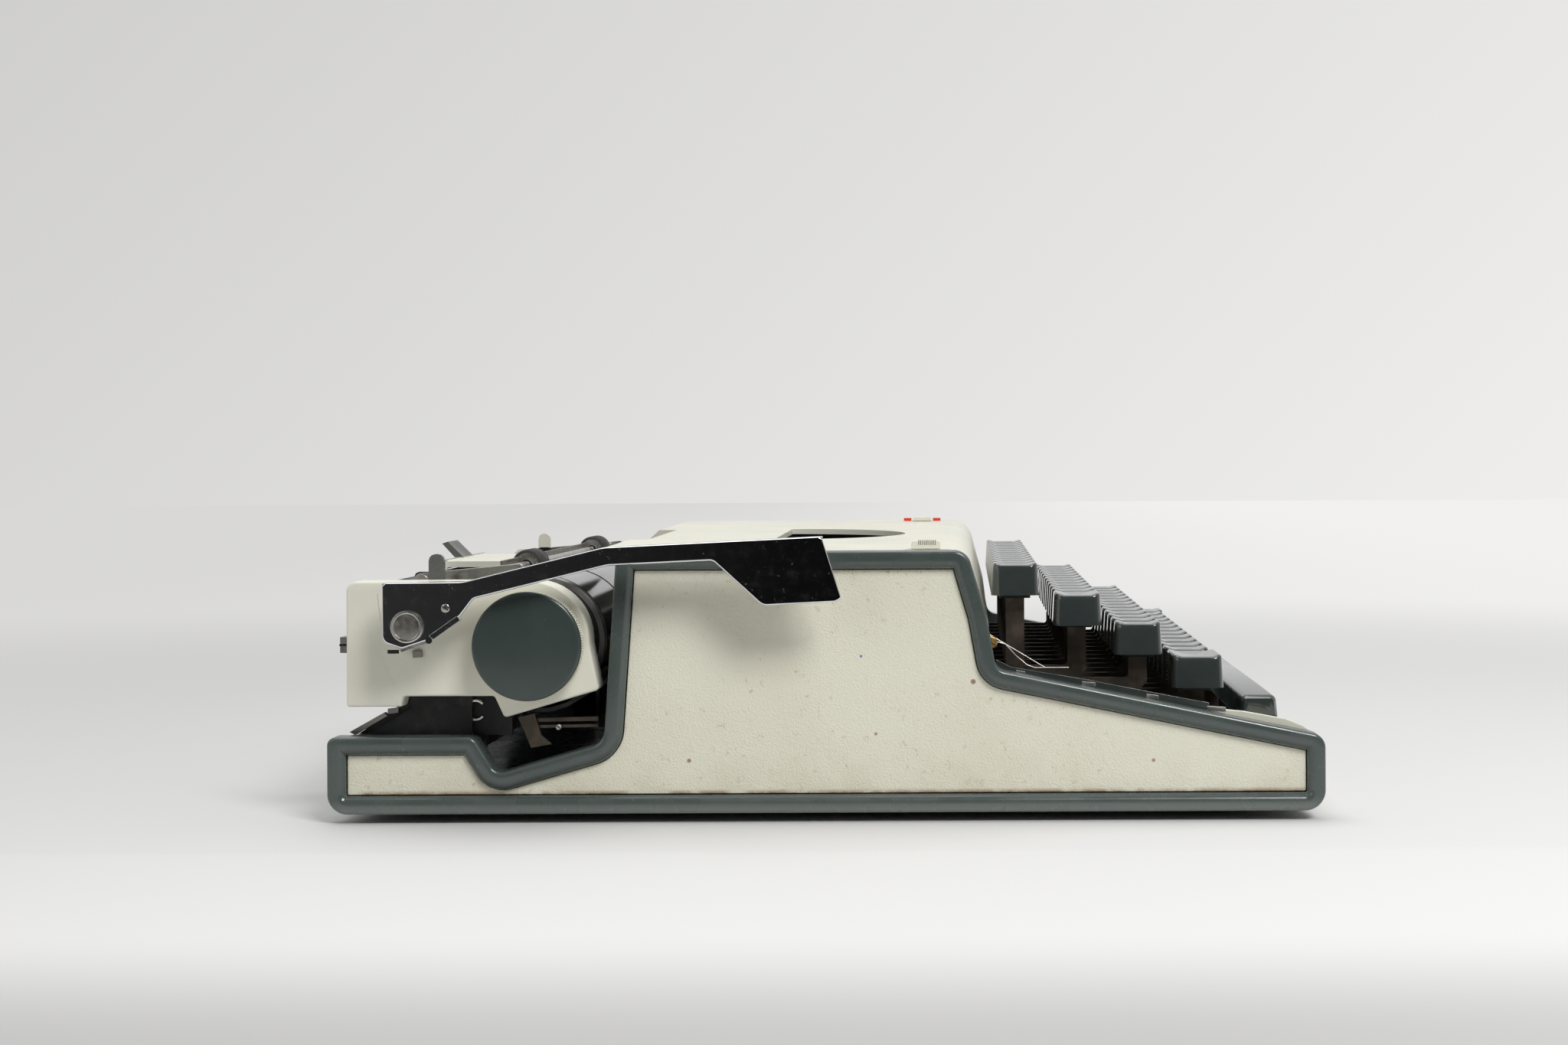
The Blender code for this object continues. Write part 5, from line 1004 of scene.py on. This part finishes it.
def dress_key_side():
    """Wires, screw and strip along the inner face of the near side frame, beside the keys."""
    piece = Piece()
    near = KEY_SIDE_X
    add_screw(piece, KEY_SIDE_SCREW_PIXEL, near, near + 0.001, 0.0021, brass, 0.001)
    for path in KEY_SIDE_WIRE_PIXELS:
        rod(piece, path, near + 0.002, KEY_SIDE_WIRE, bright_steel)
    lower = [(px, py + STRIP_PIXEL_HEIGHT) for px, py in reversed(STRIP_PIXELS)]
    cut_out(piece, STRIP_PIXELS + lower, near - 0.0002, near + 0.001, key_black)
    for start, end, top, bottom in TAB_PIXELS:
        far_top, far_bottom = top + TAB_PIXEL_SLANT, bottom + TAB_PIXEL_SLANT
        tab = [(start, top), (end, far_top), (end, far_bottom), (start, bottom)]
        cut_out(piece, tab, near - 0.0004, near + 0.001, bright_steel)
    piece.done("key_side_parts", "casing", 0.00012, slot="bright_steel", segments=1)
    edge = Piece()
    outline = [face_place(px, py, near) for px, py in PANEL_EDGE_PIXELS]
    for start in (near, -near - PANEL_EDGE_THICKNESS):
        edge.prism(outline, start, start + PANEL_EDGE_THICKNESS, cream)
    edge.done("front_panel_edge", "casing", 0.0003, slot="cream_plastic")


def dress_cover_details():
    """Lip, screws and pins on the near end cover of the carriage."""
    piece = Piece()
    add_shapes(piece, COVER_SHAPES, -CARRIAGE_HALF_WIDTH)
    piece.done("cover_details", "carriage", 0.0002, slot="cream_plastic")


def dress_carriage_top():
    """The scale bar behind the bail rod and small parts that show along the platen."""
    bail = Piece()
    y, z = BAIL_ROD
    start, end = (y + depth for depth in SCALE_DEPTHS)
    low = (-SCALE_HALF, start, z - SCALE_HALF_HEIGHT)
    bail.box(low, (SCALE_HALF, end, z + SCALE_HALF_HEIGHT), dull_nickel)
    bail.done("bail_scale", "paper_bail", 0.0002, slot="bright_steel")
    sleeve = Piece()
    for (start, end), mat in zip(SLEEVE_BANDS, (brushed, black_steel, black_steel)):
        radius = PLATEN_RADIUS + (0.00012 if mat is brushed else 0.00016)
        profile = [(start, radius - 0.002), (start, radius - 0.0003), (start + 0.0003, radius)]
        profile += [(end - 0.0003, radius), (end, radius - 0.0003), (end, radius - 0.002)]
        sleeve.turned_x(profile, PLATEN_Y, PLATEN_Z, mat, PLATEN_SIDES, ring=True)
    sleeve.done("platen_sleeve", "platen", slot="platen_rubber")


def add_screw(piece, pixel, plane, x, radius, mat, height=SCREW_HEIGHT):
    """A slotted screw head at x that looks to the left, at a pixel of the photograph seen at plane."""
    centre = Vector(face_place(*pixel, plane))
    top = x - height
    profile = [(x + 0.0002, radius), (top + height * 0.4, radius), (top, radius * 0.8), (top, 0.0001)]
    piece.turned_x(profile, *centre, mat, 24)
    # The slot is a black bar on the head, painted shade in place of a cut
    turn = SCREW_SLOT_TURN
    way = Vector((math.cos(turn), math.sin(turn))) * radius * 0.85
    side_way = Vector((-math.sin(turn), math.cos(turn))) * SCREW_SLOT_WIDTH / 2
    outline = [centre + way + side_way, centre - way + side_way]
    outline += [centre - way - side_way, centre + way - side_way]
    piece.prism(outline, top - 0.00004, top + height * 0.3, black_steel)


def row_place(row):
    y = FIRST_ROW_Y - ROW_PLACE_shares[row] * KEYBOARD_REACH
    top = FIRST_ROW_TOP - ROW_HEIGHT_shares[row] * KEYBOARD_DROP
    arm_top = FIRST_ROW_ARM_TOP - ARM_HEIGHT_shares[row] * KEYBOARD_DROP
    return y, top, arm_top


def add_key_cap(piece, x, row, width, depth=KEY_DEPTH):
    """A key top with rounded corners, a flared skirt and a finger dish from front to back."""
    y, top, _arm_top = row_place(row)
    y -= (depth - KEY_DEPTH) / 2
    bottom = top - KEY_HEIGHT

    def loop(inset, height_of):
        half_x = width / 2 - inset
        half_y = depth / 2 - inset
        radius = max(KEY_CORNER - inset * 0.6, 0.0004)
        points = []
        for quarter, (sx, sy) in enumerate(((1, 1), (-1, 1), (-1, -1), (1, -1))):
            for step in range(KEY_CORNER_STEPS + 1):
                turn = math.pi / 2 * (quarter + step / KEY_CORNER_STEPS)
                px = sx * (half_x - radius) + radius * math.cos(turn)
                py = sy * (half_y - radius) + radius * math.sin(turn)
                points.append(Vector((x + px, y + py, height_of(py))))
        return points

    reach = depth / 2 - KEY_TAPER

    def dished(py):
        share = min(abs(py) / reach, 1.0)
        return top + KEY_CORNER_RISE - KEY_DISH * (1 - share * share)

    loops = [loop(0.0011, lambda py: bottom + 0.0012)]
    loops += [loop(inset, lambda py: bottom) for inset in (0.0011, 0.0)]
    for share, inset in ((0.5, 0.0003), (0.8, 0.0005)):
        loops.append(loop(inset, lambda py, share=share: bottom + (dished(py) - bottom) * share))
    for inset, drop in ((0.0006, 0.0009), (0.00085, 0.0004), (0.0013, 0.0001), (0.0019, 0.0)):
        loops.append(loop(inset, lambda py, drop=drop: dished(py) - drop))
    for share in (0.3, 0.55, 0.78):
        inset = 0.0019 + share * (min(width, depth) / 2 - 0.0025)
        loops.append(loop(inset, dished))
    piece.loft(loops, key_black)


def arm_outline(row, hub=FULCRUM, rise=None):
    y, top, arm_top = row_place(row)
    half = STEM_WIDTH / 2
    arm_bottom = arm_top - ARM_HEIGHT
    small = 0.0006
    upper = [(hub[0], hub[1] + ARM_HEIGHT / 2, small)]
    lower = [(hub[0], hub[1] - ARM_HEIGHT / 2, small)]
    if rise:
        upper.append((rise[0] + ARM_HEIGHT / 2, rise[1] + ARM_HEIGHT, 0.001))
        lower.append((rise[0] - ARM_HEIGHT / 2, rise[1], 0.001))
    knee = max(KNEE_Y, y + KNEE_BEHIND)
    upper += [
        (knee, arm_top, 0.002),
        (y + half, arm_top, 0.0012),
        (y + half, top - KEY_HEIGHT + 0.002, small),
        (y - half, top - KEY_HEIGHT + 0.002, small),
        (y - half, arm_bottom + half, 0.0014),
        (y, arm_bottom, 0.0014),
        (knee, arm_bottom, 0.002),
    ]
    return rounded(upper + list(reversed(lower)), steps=4)


def add_holder(piece, x, row):
    """The block under a key top that grips its stem."""
    y, top, _arm_top = row_place(row)
    bottom = top - KEY_HEIGHT
    low = (x - 0.0035, y - 0.0052, bottom - 0.0011)
    piece.box(low, (x + 0.0035, y + 0.0052, bottom + 0.002), key_black)


def add_arm(piece, x, outline):
    piece.prism(outline, x - ARM_PLATE / 2, x + ARM_PLATE / 2, lever_steel)


def add_hub(piece, start, end):
    """The tube with which keys turn on the fulcrum rod."""
    piece.turned_x(tube(start, end, HUB_BORE, HUB_RADIUS), *FULCRUM, lever_steel, 24, ring=True)


def dress_key_column(label, centre_x, rows_and_lanes):
    piece = Piece()
    lanes = [lane for _row, lane in rows_and_lanes]
    reach = LANE / 2 - 0.00035
    add_hub(piece, centre_x + min(lanes) * LANE - reach, centre_x + max(lanes) * LANE + reach)
    for row, lane in rows_and_lanes:
        x = centre_x + lane * LANE
        add_arm(piece, x, arm_outline(row))
        add_key_cap(piece, x, row, KEY_WIDTH)
        add_holder(piece, x, row)
    piece.done(f"keys_{label}", label, nodes=[label], slot="key_plastic")


def dress_single_key(label, lane_x, x_from, x_to, row):
    piece = Piece()
    add_hub(piece, lane_x - SINGLE_HUB_HALF, lane_x + SINGLE_HUB_HALF)
    add_arm(piece, lane_x, arm_outline(row))
    add_key_cap(piece, (x_from + x_to) / 2, row, x_to - x_from)
    add_holder(piece, lane_x, row)
    piece.done(f"keys_{label}", label, nodes=[label], slot="key_plastic")


def dress_keyboard():
    rows = list(enumerate(ROW_LANES))
    first_x = -(KEY_COLUMNS - 1) / 2 * KEY_PITCH
    for k in range(KEY_COLUMNS):
        extra = [(2, 3)] if k == KEY_COLUMNS - 1 else []
        dress_key_column(f"key_column_{k + 1:02d}", first_x + k * KEY_PITCH, rows + extra)
    half = KEY_WIDTH / 2
    release_x = first_x - KEY_PITCH
    dress_single_key("margin_release_key", release_x, release_x - half, release_x + half, 0)
    dress_single_key("backspace_key", -release_x, -release_x - half, -release_x + half, 0)
    tab_end = first_x + ROW_LANES[1] * LANE - half - KEY_GAP
    dress_single_key("tab_key", first_x - 3 * LANE, -FUNCTION_HALF, tab_end, 1)
    lock_end = first_x + ROW_LANES[2] * LANE - half - KEY_GAP
    dress_single_key("shift_lock_key", first_x - 5 * LANE, -FUNCTION_HALF - KEY_GAP, lock_end, 2)
    piece = Piece()
    left_end = first_x + ROW_LANES[3] * LANE - half - KEY_GAP
    right_start = -first_x + ROW_LANES[3] * LANE + half + KEY_GAP
    both = ((-SHIFT_LANE_X, -SHIFT_HALF, left_end), (SHIFT_LANE_X, right_start, SHIFT_HALF))
    for lane_x, x_from, x_to in both:
        add_key_cap(piece, (x_from + x_to) / 2, 3, x_to - x_from, SHIFT_KEY_DEPTH)
        add_arm(piece, lane_x, arm_outline(3, SHIFT_AXIS, SHIFT_RISE))
        add_holder(piece, lane_x, 3)
    piece.turned_x([(-SHAFT_END, 0.0022), (SHAFT_END, 0.0022)], *SHIFT_AXIS, lever_steel, 20)
    piece.done("shift_keys", "shift_bail", nodes=["shift_bail"], slot="key_plastic")
    dress_space_bar()


def dress_space_bar():
    piece = Piece()
    y, top, half, depth = SPACE_BAR_Y, SPACE_BAR_TOP, SPACE_BAR_HALF, SPACE_BAR_DEPTH
    bottom = top - SPACE_BAR_SKIRT
    corners = [
        (y - depth / 2, bottom, 0.0006),
        (y + depth / 2, bottom, 0.0006),
        (y + depth / 2 - 0.0008, top - 0.0012, 0.0024),
        (y - depth / 2 + 0.0008, top - 0.0012, 0.0024),
    ]
    ends = [(0.0026, half), (0.0012, half - 0.0003), (0.0003, half - 0.0014), (0.0, half - 0.003)]
    loops = [across(rounded(corners, inset), -x) for inset, x in ends]
    loops += [across(rounded(corners, inset), x) for inset, x in reversed(ends)]
    piece.loft(loops, key_black)
    axis_y, axis_z = SPACE_BAR_AXIS
    reach = SPACE_BAR_ARM / 2
    low = axis_z - reach
    high = axis_z + reach
    stem = depth / 4
    outline = [
        (axis_y + reach, low, 0.0012),
        (axis_y + reach, high, 0.0012),
        (y + stem, high, 0.001),
        (y + stem, bottom + 0.002, 0.0004),
        (y - stem, bottom + 0.002, 0.0004),
        (y - stem, low, 0.002),
    ]
    for side in (-1, 1):
        x = side * SPACE_BAR_ARM_X
        piece.prism(rounded(outline, steps=4), x - 0.0015, x + 0.0015, lever_steel)
    piece.turned_x([(-SHAFT_END, 0.0018), (SHAFT_END, 0.0018)], axis_y, axis_z, lever_steel, 20)
    piece.done("space_bar_top", "space_bar", nodes=["space_bar"], slot="key_plastic")


def dress_ribbon_cover():
    lean = COVER_FRONT - COVER_LEAN
    corners = [
        (-COVER_FRONT, COVER_FRONT_BOTTOM, SMALLEST_RADIUS),
        (-lean, COVER_TOP, COVER_RADIUS),
        (COVER_REAR - COVER_REAR_RUN, COVER_TOP, COVER_SHEET),
        (COVER_REAR, COVER_TOP - COVER_REAR_DROP, SMALLEST_RADIUS),
        (COVER_REAR - COVER_SHEET / 2, COVER_TOP - COVER_REAR_DROP - COVER_SHEET / 2, SMALLEST_RADIUS),
        (COVER_REAR - COVER_REAR_RUN - COVER_SHEET / 2, COVER_TOP - COVER_SHEET, SMALLEST_RADIUS),
        (-lean + COVER_SHEET / 2, COVER_TOP - COVER_SHEET, COVER_RADIUS - COVER_SHEET),
        (-COVER_FRONT + COVER_SHEET, COVER_FRONT_BOTTOM, SMALLEST_RADIUS),
    ]
    sheet = Piece().prism(rounded(corners), -COVER_HALF, COVER_HALF, cream)
    top = COVER_TOP - COVER_SHEET / 2
    ends = (-lean + 0.003, COVER_REAR - COVER_REAR_RUN)
    skirt = [(ends[0], top), (ends[1], top), (ends[1], top - 0.004), (ends[0], top - 0.004)]
    for side in (-1, 1):
        sheet.prism(skirt, side * COVER_HALF, side * (COVER_HALF - 0.0012), cream)
    cover = raw_object(sheet, "cover_sheet")
    turns = [math.pi * (1 + k / BASKET_STEPS) for k in range(BASKET_STEPS + 1)]
    arc = [(BASKET_RADIUS * math.cos(t), BASKET_Y + BASKET_RADIUS * math.sin(t)) for t in turns]
    low = COVER_TOP - 4 * COVER_SHEET
    high = COVER_TOP + COVER_SHEET
    basket = Piece().loft([flat(arc, low), flat(arc, high)], cream)
    corner = (-NOTCH_HALF, COVER_REAR - NOTCH_DEPTH, PLATEN_Z)
    notch = Piece().box(corner, (NOTCH_HALF, COVER_REAR + 0.002, high), cream)
    cutters = [raw_object(basket, "basket"), raw_object(notch, "notch")]
    for _label, x, y, _length in SELECTORS:
        slot = Piece().box((x - 0.002, y - 0.008, low), (x + 0.002, y + 0.008, high), cream)
        cutters.append(raw_object(slot, "slot"))
    cut_mesh(cover, cutters)
    tilt(cover)
    settle(cover, "ribbon_cover", 0.0007, ["ribbon_cover"], angle=40, segments=3)
    normals = cover.modifiers.new("even", "WEIGHTED_NORMAL")
    normals.keep_sharp = True
    marks = Piece()
    for y in MARKS_Y:
        corner = (MARKS_X[0], y - 0.0017, COVER_TOP - 0.0001)
        marks.box(corner, (MARKS_X[1], y + 0.0017, COVER_TOP + 0.0013), red)
    tilt(marks.done("selector_marks", "ribbon_cover", 0.0002, slot="cream_plastic"))
    for label, x, y, length in SELECTORS:
        cap = Piece()
        half = length / 2
        top = COVER_TOP + (0.0029 if x < 0 else 0.0019)
        outline = [
            (y - half, COVER_TOP + 0.0002, 0.0003),
            (y + half, COVER_TOP + 0.0002, 0.0003),
            (y + half - 0.0003, top, 0.0008),
            (y - half + 0.0003, top, 0.0008),
        ]
        cap.prism(rounded(outline, steps=4), x - CAP_HALF_WIDTH, x + CAP_HALF_WIDTH, cream)
        corner = (x - 0.0017, y - 0.0042, COVER_TOP - 0.004)
        cap.box(corner, (x + 0.0017, y + 0.0042, COVER_TOP + 0.0008), cream)
        for k in range(CAP_RIBS if x < 0 else 0):
            place = y - 0.0032 + CAP_RIB_PITCH * k
            corner = (x - 0.0029, place - 0.0002, top - 0.0014)
            cap.box(corner, (x + 0.0022, place + 0.0002, top + 0.0002), grip)
        tilt(cap.done(f"{label}_cap", label, 0.00025, [label], "cream_plastic"))


def tilt(obj):
    """In the photograph the cover's near side lies a little lower than its far side."""
    for vertex in obj.data.vertices:
        vertex.co.z -= COVER_TILT * (COVER_HALF - vertex.co.x) / (2 * COVER_HALF)


def dress_typebars():
    """The resting fan, bar by bar, with a type slug on each tip."""
    piece = Piece()
    slope = math.tan(math.radians(BAR_SLOPE_DEG))
    tip_radius = BAR_PIVOT_RADIUS + BAR_LENGTH * math.cos(math.radians(BAR_SLOPE_DEG))
    inner, outer = SEGMENT_RADII
    low, high = SEGMENT_HEIGHTS
    section = ((inner, low), (outer, low), (outer, high), (inner, high))
    loops = []
    for k in range(SEGMENT_STEPS + 1):
        turn = math.pi * (k / SEGMENT_STEPS - 0.5)
        dx, dy = math.sin(turn), -math.cos(turn)
        loops.append([Vector((radius * dx, SEGMENT_Y + radius * dy, z)) for radius, z in section])
    piece.loft(loops, bright_steel)
    half = BAR_HEIGHT / 2
    neck = tip_radius - SLUG_LENGTH
    heel, pivot, taper = BAR_HEEL_RADIUS, BAR_PIVOT_RADIUS, neck - BAR_TAPER_LENGTH
    bar = [(heel, -0.0012), (pivot, -half), (taper, -half * 0.8), (tip_radius, -half * 0.5)]
    bar += [(tip_radius, half * 0.6), (taper, half * 0.8), (pivot, half), (heel, half)]
    slug = [(neck, -half * 0.4), (tip_radius, -half * 0.4)]
    slug += [(tip_radius, SLUG_HEIGHT), (neck + 0.0012, SLUG_HEIGHT)]
    step_deg = (FAN_DEG[1] - FAN_DEG[0]) / (BARS_EACH_SIDE - 1)
    for side in (-1, 1):
        for k in range(BARS_EACH_SIDE):
            turn = math.radians(FAN_DEG[0] + step_deg * k) * side
            out = Vector((math.sin(turn), -math.cos(turn), 0.0))
            wide = Vector((math.cos(turn), math.sin(turn), 0.0))
            centre = Vector((0.0, SEGMENT_Y, 0.0))

            def point(radius, height, sideways):
                z = BAR_PIVOT_Z + slope * (radius - BAR_PIVOT_RADIUS) + height
                return centre + out * radius + wide * sideways + Vector((0.0, 0.0, z))

            for width, shape in ((BAR_PLATE, bar), (SLUG_WIDTH, slug)):
                loops = [[point(r, h, s * width / 2) for r, h in shape] for s in (-1, 1)]
                piece.loft(loops, bright_steel)
    piece.done("typebars", "casing", 0.00012, ["typebar_fan"], "bright_steel", segments=1)


def lamp(name, place, size, power):
    data = bpy.data.lights.new(name, "AREA")
    data.size = size
    data.energy = power
    obj = bpy.data.objects.new(name, data)
    obj.location = place
    obj.rotation_euler = (Vector(LAMP_TARGET) - Vector(place)).to_track_quat("-Z", "Y").to_euler()
    bpy.context.scene.collection.objects.link(obj)


def make_floor():
    """Pale floor that fades into the background. Near the object its colour carries painted light and
    shade; farther out it glows in the background's colour, with a painted gradient of light.
    """
    bm = bmesh.new()
    bm.faces.new([bm.verts.new(corner) for corner in FLOOR_CORNERS])
    mesh = bpy.data.meshes.new("floor")
    bm.to_mesh(mesh)
    bm.free()
    floor = bpy.data.objects.new("floor", mesh)
    bpy.context.scene.collection.objects.link(floor)
    made = Finish("floor_paper", (0.68, 0.677, 0.672), 0.85)
    # Paler just in front of the object; painted shade towards the camera and towards +Y, painted light
    # towards -Y
    made.tint(made.ramp(made.axis("X"), -0.214, -0.204, 1.0, 0.0), (0.7, 0.697, 0.69))
    made.tint(made.ramp(made.axis("X"), -0.45, -0.33, 1.0, 0.0), (0.43, 0.428, 0.424))
    made.tint(made.ramp(made.axis("Y"), 0.05, 0.35, 0.0, 0.08), (0.0, 0.0, 0.0))
    made.tint(made.ramp(made.axis("Y"), -0.35, -0.05, 0.12, 0.0), (1.0, 1.0, 1.0))
    length = made.node("ShaderNodeVectorMath", operation="LENGTH")
    made.link(made.place, length.inputs[0])
    glow = made.node("ShaderNodeEmission")
    glow.inputs["Color"].default_value = (*BACKGROUND, 1.0)
    # Painted gradient of light in the glow: brighter towards -Y
    made.link(made.ramp(made.axis("Y"), -0.8, 0.9, 0.88, 0.69), glow.inputs["Strength"])
    mix = made.node("ShaderNodeMixShader")
    made.link(made.ramp(length.outputs["Value"], 0.3, 1.2), mix.inputs["Fac"])
    made.link(made.shader.outputs["BSDF"], mix.inputs[1])
    made.link(glow.outputs["Emission"], mix.inputs[2])
    made.link(mix.outputs["Shader"], made.tree.nodes["Material Output"].inputs["Surface"])
    mesh.materials.append(made.mat)


def make_world():
    """A background that the camera sees, with a painted gradient of light, and another light from around
    that falls on the object.
    """
    world = bpy.data.worlds.new("studio")
    bpy.context.scene.world = world
    world.use_nodes = True
    world.node_tree.nodes.clear()
    sky = Nodes(world.node_tree, "Generated")
    seen = sky.node("ShaderNodeBackground")
    seen.inputs["Color"].default_value = (*BACKGROUND, 1.0)
    # Painted gradient of light: the background the camera sees is brighter towards -Y and downwards
    slope = sky.math("ADD", sky.axis("Y"), sky.axis("Z"))
    sky.link(sky.math("MULTIPLY_ADD", slope, -0.28, 0.785), seen.inputs["Strength"])
    lit = sky.node("ShaderNodeBackground")
    far_side = sky.ramp(sky.axis("X"), -0.7, 0.15, 0.006, 0.76)
    rear = sky.ramp(sky.axis("Y"), 0.08, 0.4, 0.0, 0.06, "LINEAR")
    sky.link(sky.math("ADD", far_side, rear), lit.inputs["Strength"])
    choose = sky.node("ShaderNodeMixShader")
    sky.link(sky.node("ShaderNodeLightPath").outputs["Is Camera Ray"], choose.inputs["Fac"])
    sky.link(lit.outputs["Background"], choose.inputs[1])
    sky.link(seen.outputs["Background"], choose.inputs[2])
    sky.link(choose.outputs["Shader"], sky.node("ShaderNodeOutputWorld").inputs["Surface"])


def make_camera():
    data = bpy.data.cameras.new("camera")
    data.sensor_width = SENSOR_WIDTH
    data.lens = FACE_SCALE * CAMERA_DISTANCE / PHOTO_WIDTH * SENSOR_WIDTH
    data.shift_x = (PHOTO_WIDTH / 2 - VANISHING_PIXEL[0]) / PHOTO_WIDTH
    data.shift_y = (VANISHING_PIXEL[1] - PHOTO_HEIGHT / 2) / PHOTO_WIDTH
    data.clip_start = 0.01
    camera = bpy.data.objects.new("camera", data)
    camera.location = (FACE_X - CAMERA_DISTANCE, CAMERA_Y, CAMERA_Z)
    look = Matrix.Rotation(-math.pi / 2, 4, "Z") @ Matrix.Rotation(math.pi / 2, 4, "X")
    roll = Matrix.Rotation(math.radians(CAMERA_ROLL_DEG), 4, "X")
    camera.rotation_euler = (roll @ look).to_euler()
    bpy.context.scene.collection.objects.link(camera)
    bpy.context.scene.camera = camera


def main():
    make_camera()
    make_floor()
    make_world()
    for name, place, size, power in LAMPS:
        lamp(name, place, size, power)
    dress_cad_nodes()
    dress_side_frames()
    dress_end_covers()
    dress_knobs()
    dress_platen()
    dress_bail()
    dress_return_lever()
    dress_notch()
    dress_key_side()
    dress_cover_details()
    dress_carriage_top()
    dress_keyboard()
    dress_ribbon_cover()
    dress_typebars()
    bpy.context.scene.view_settings.view_transform = "Standard"


main()
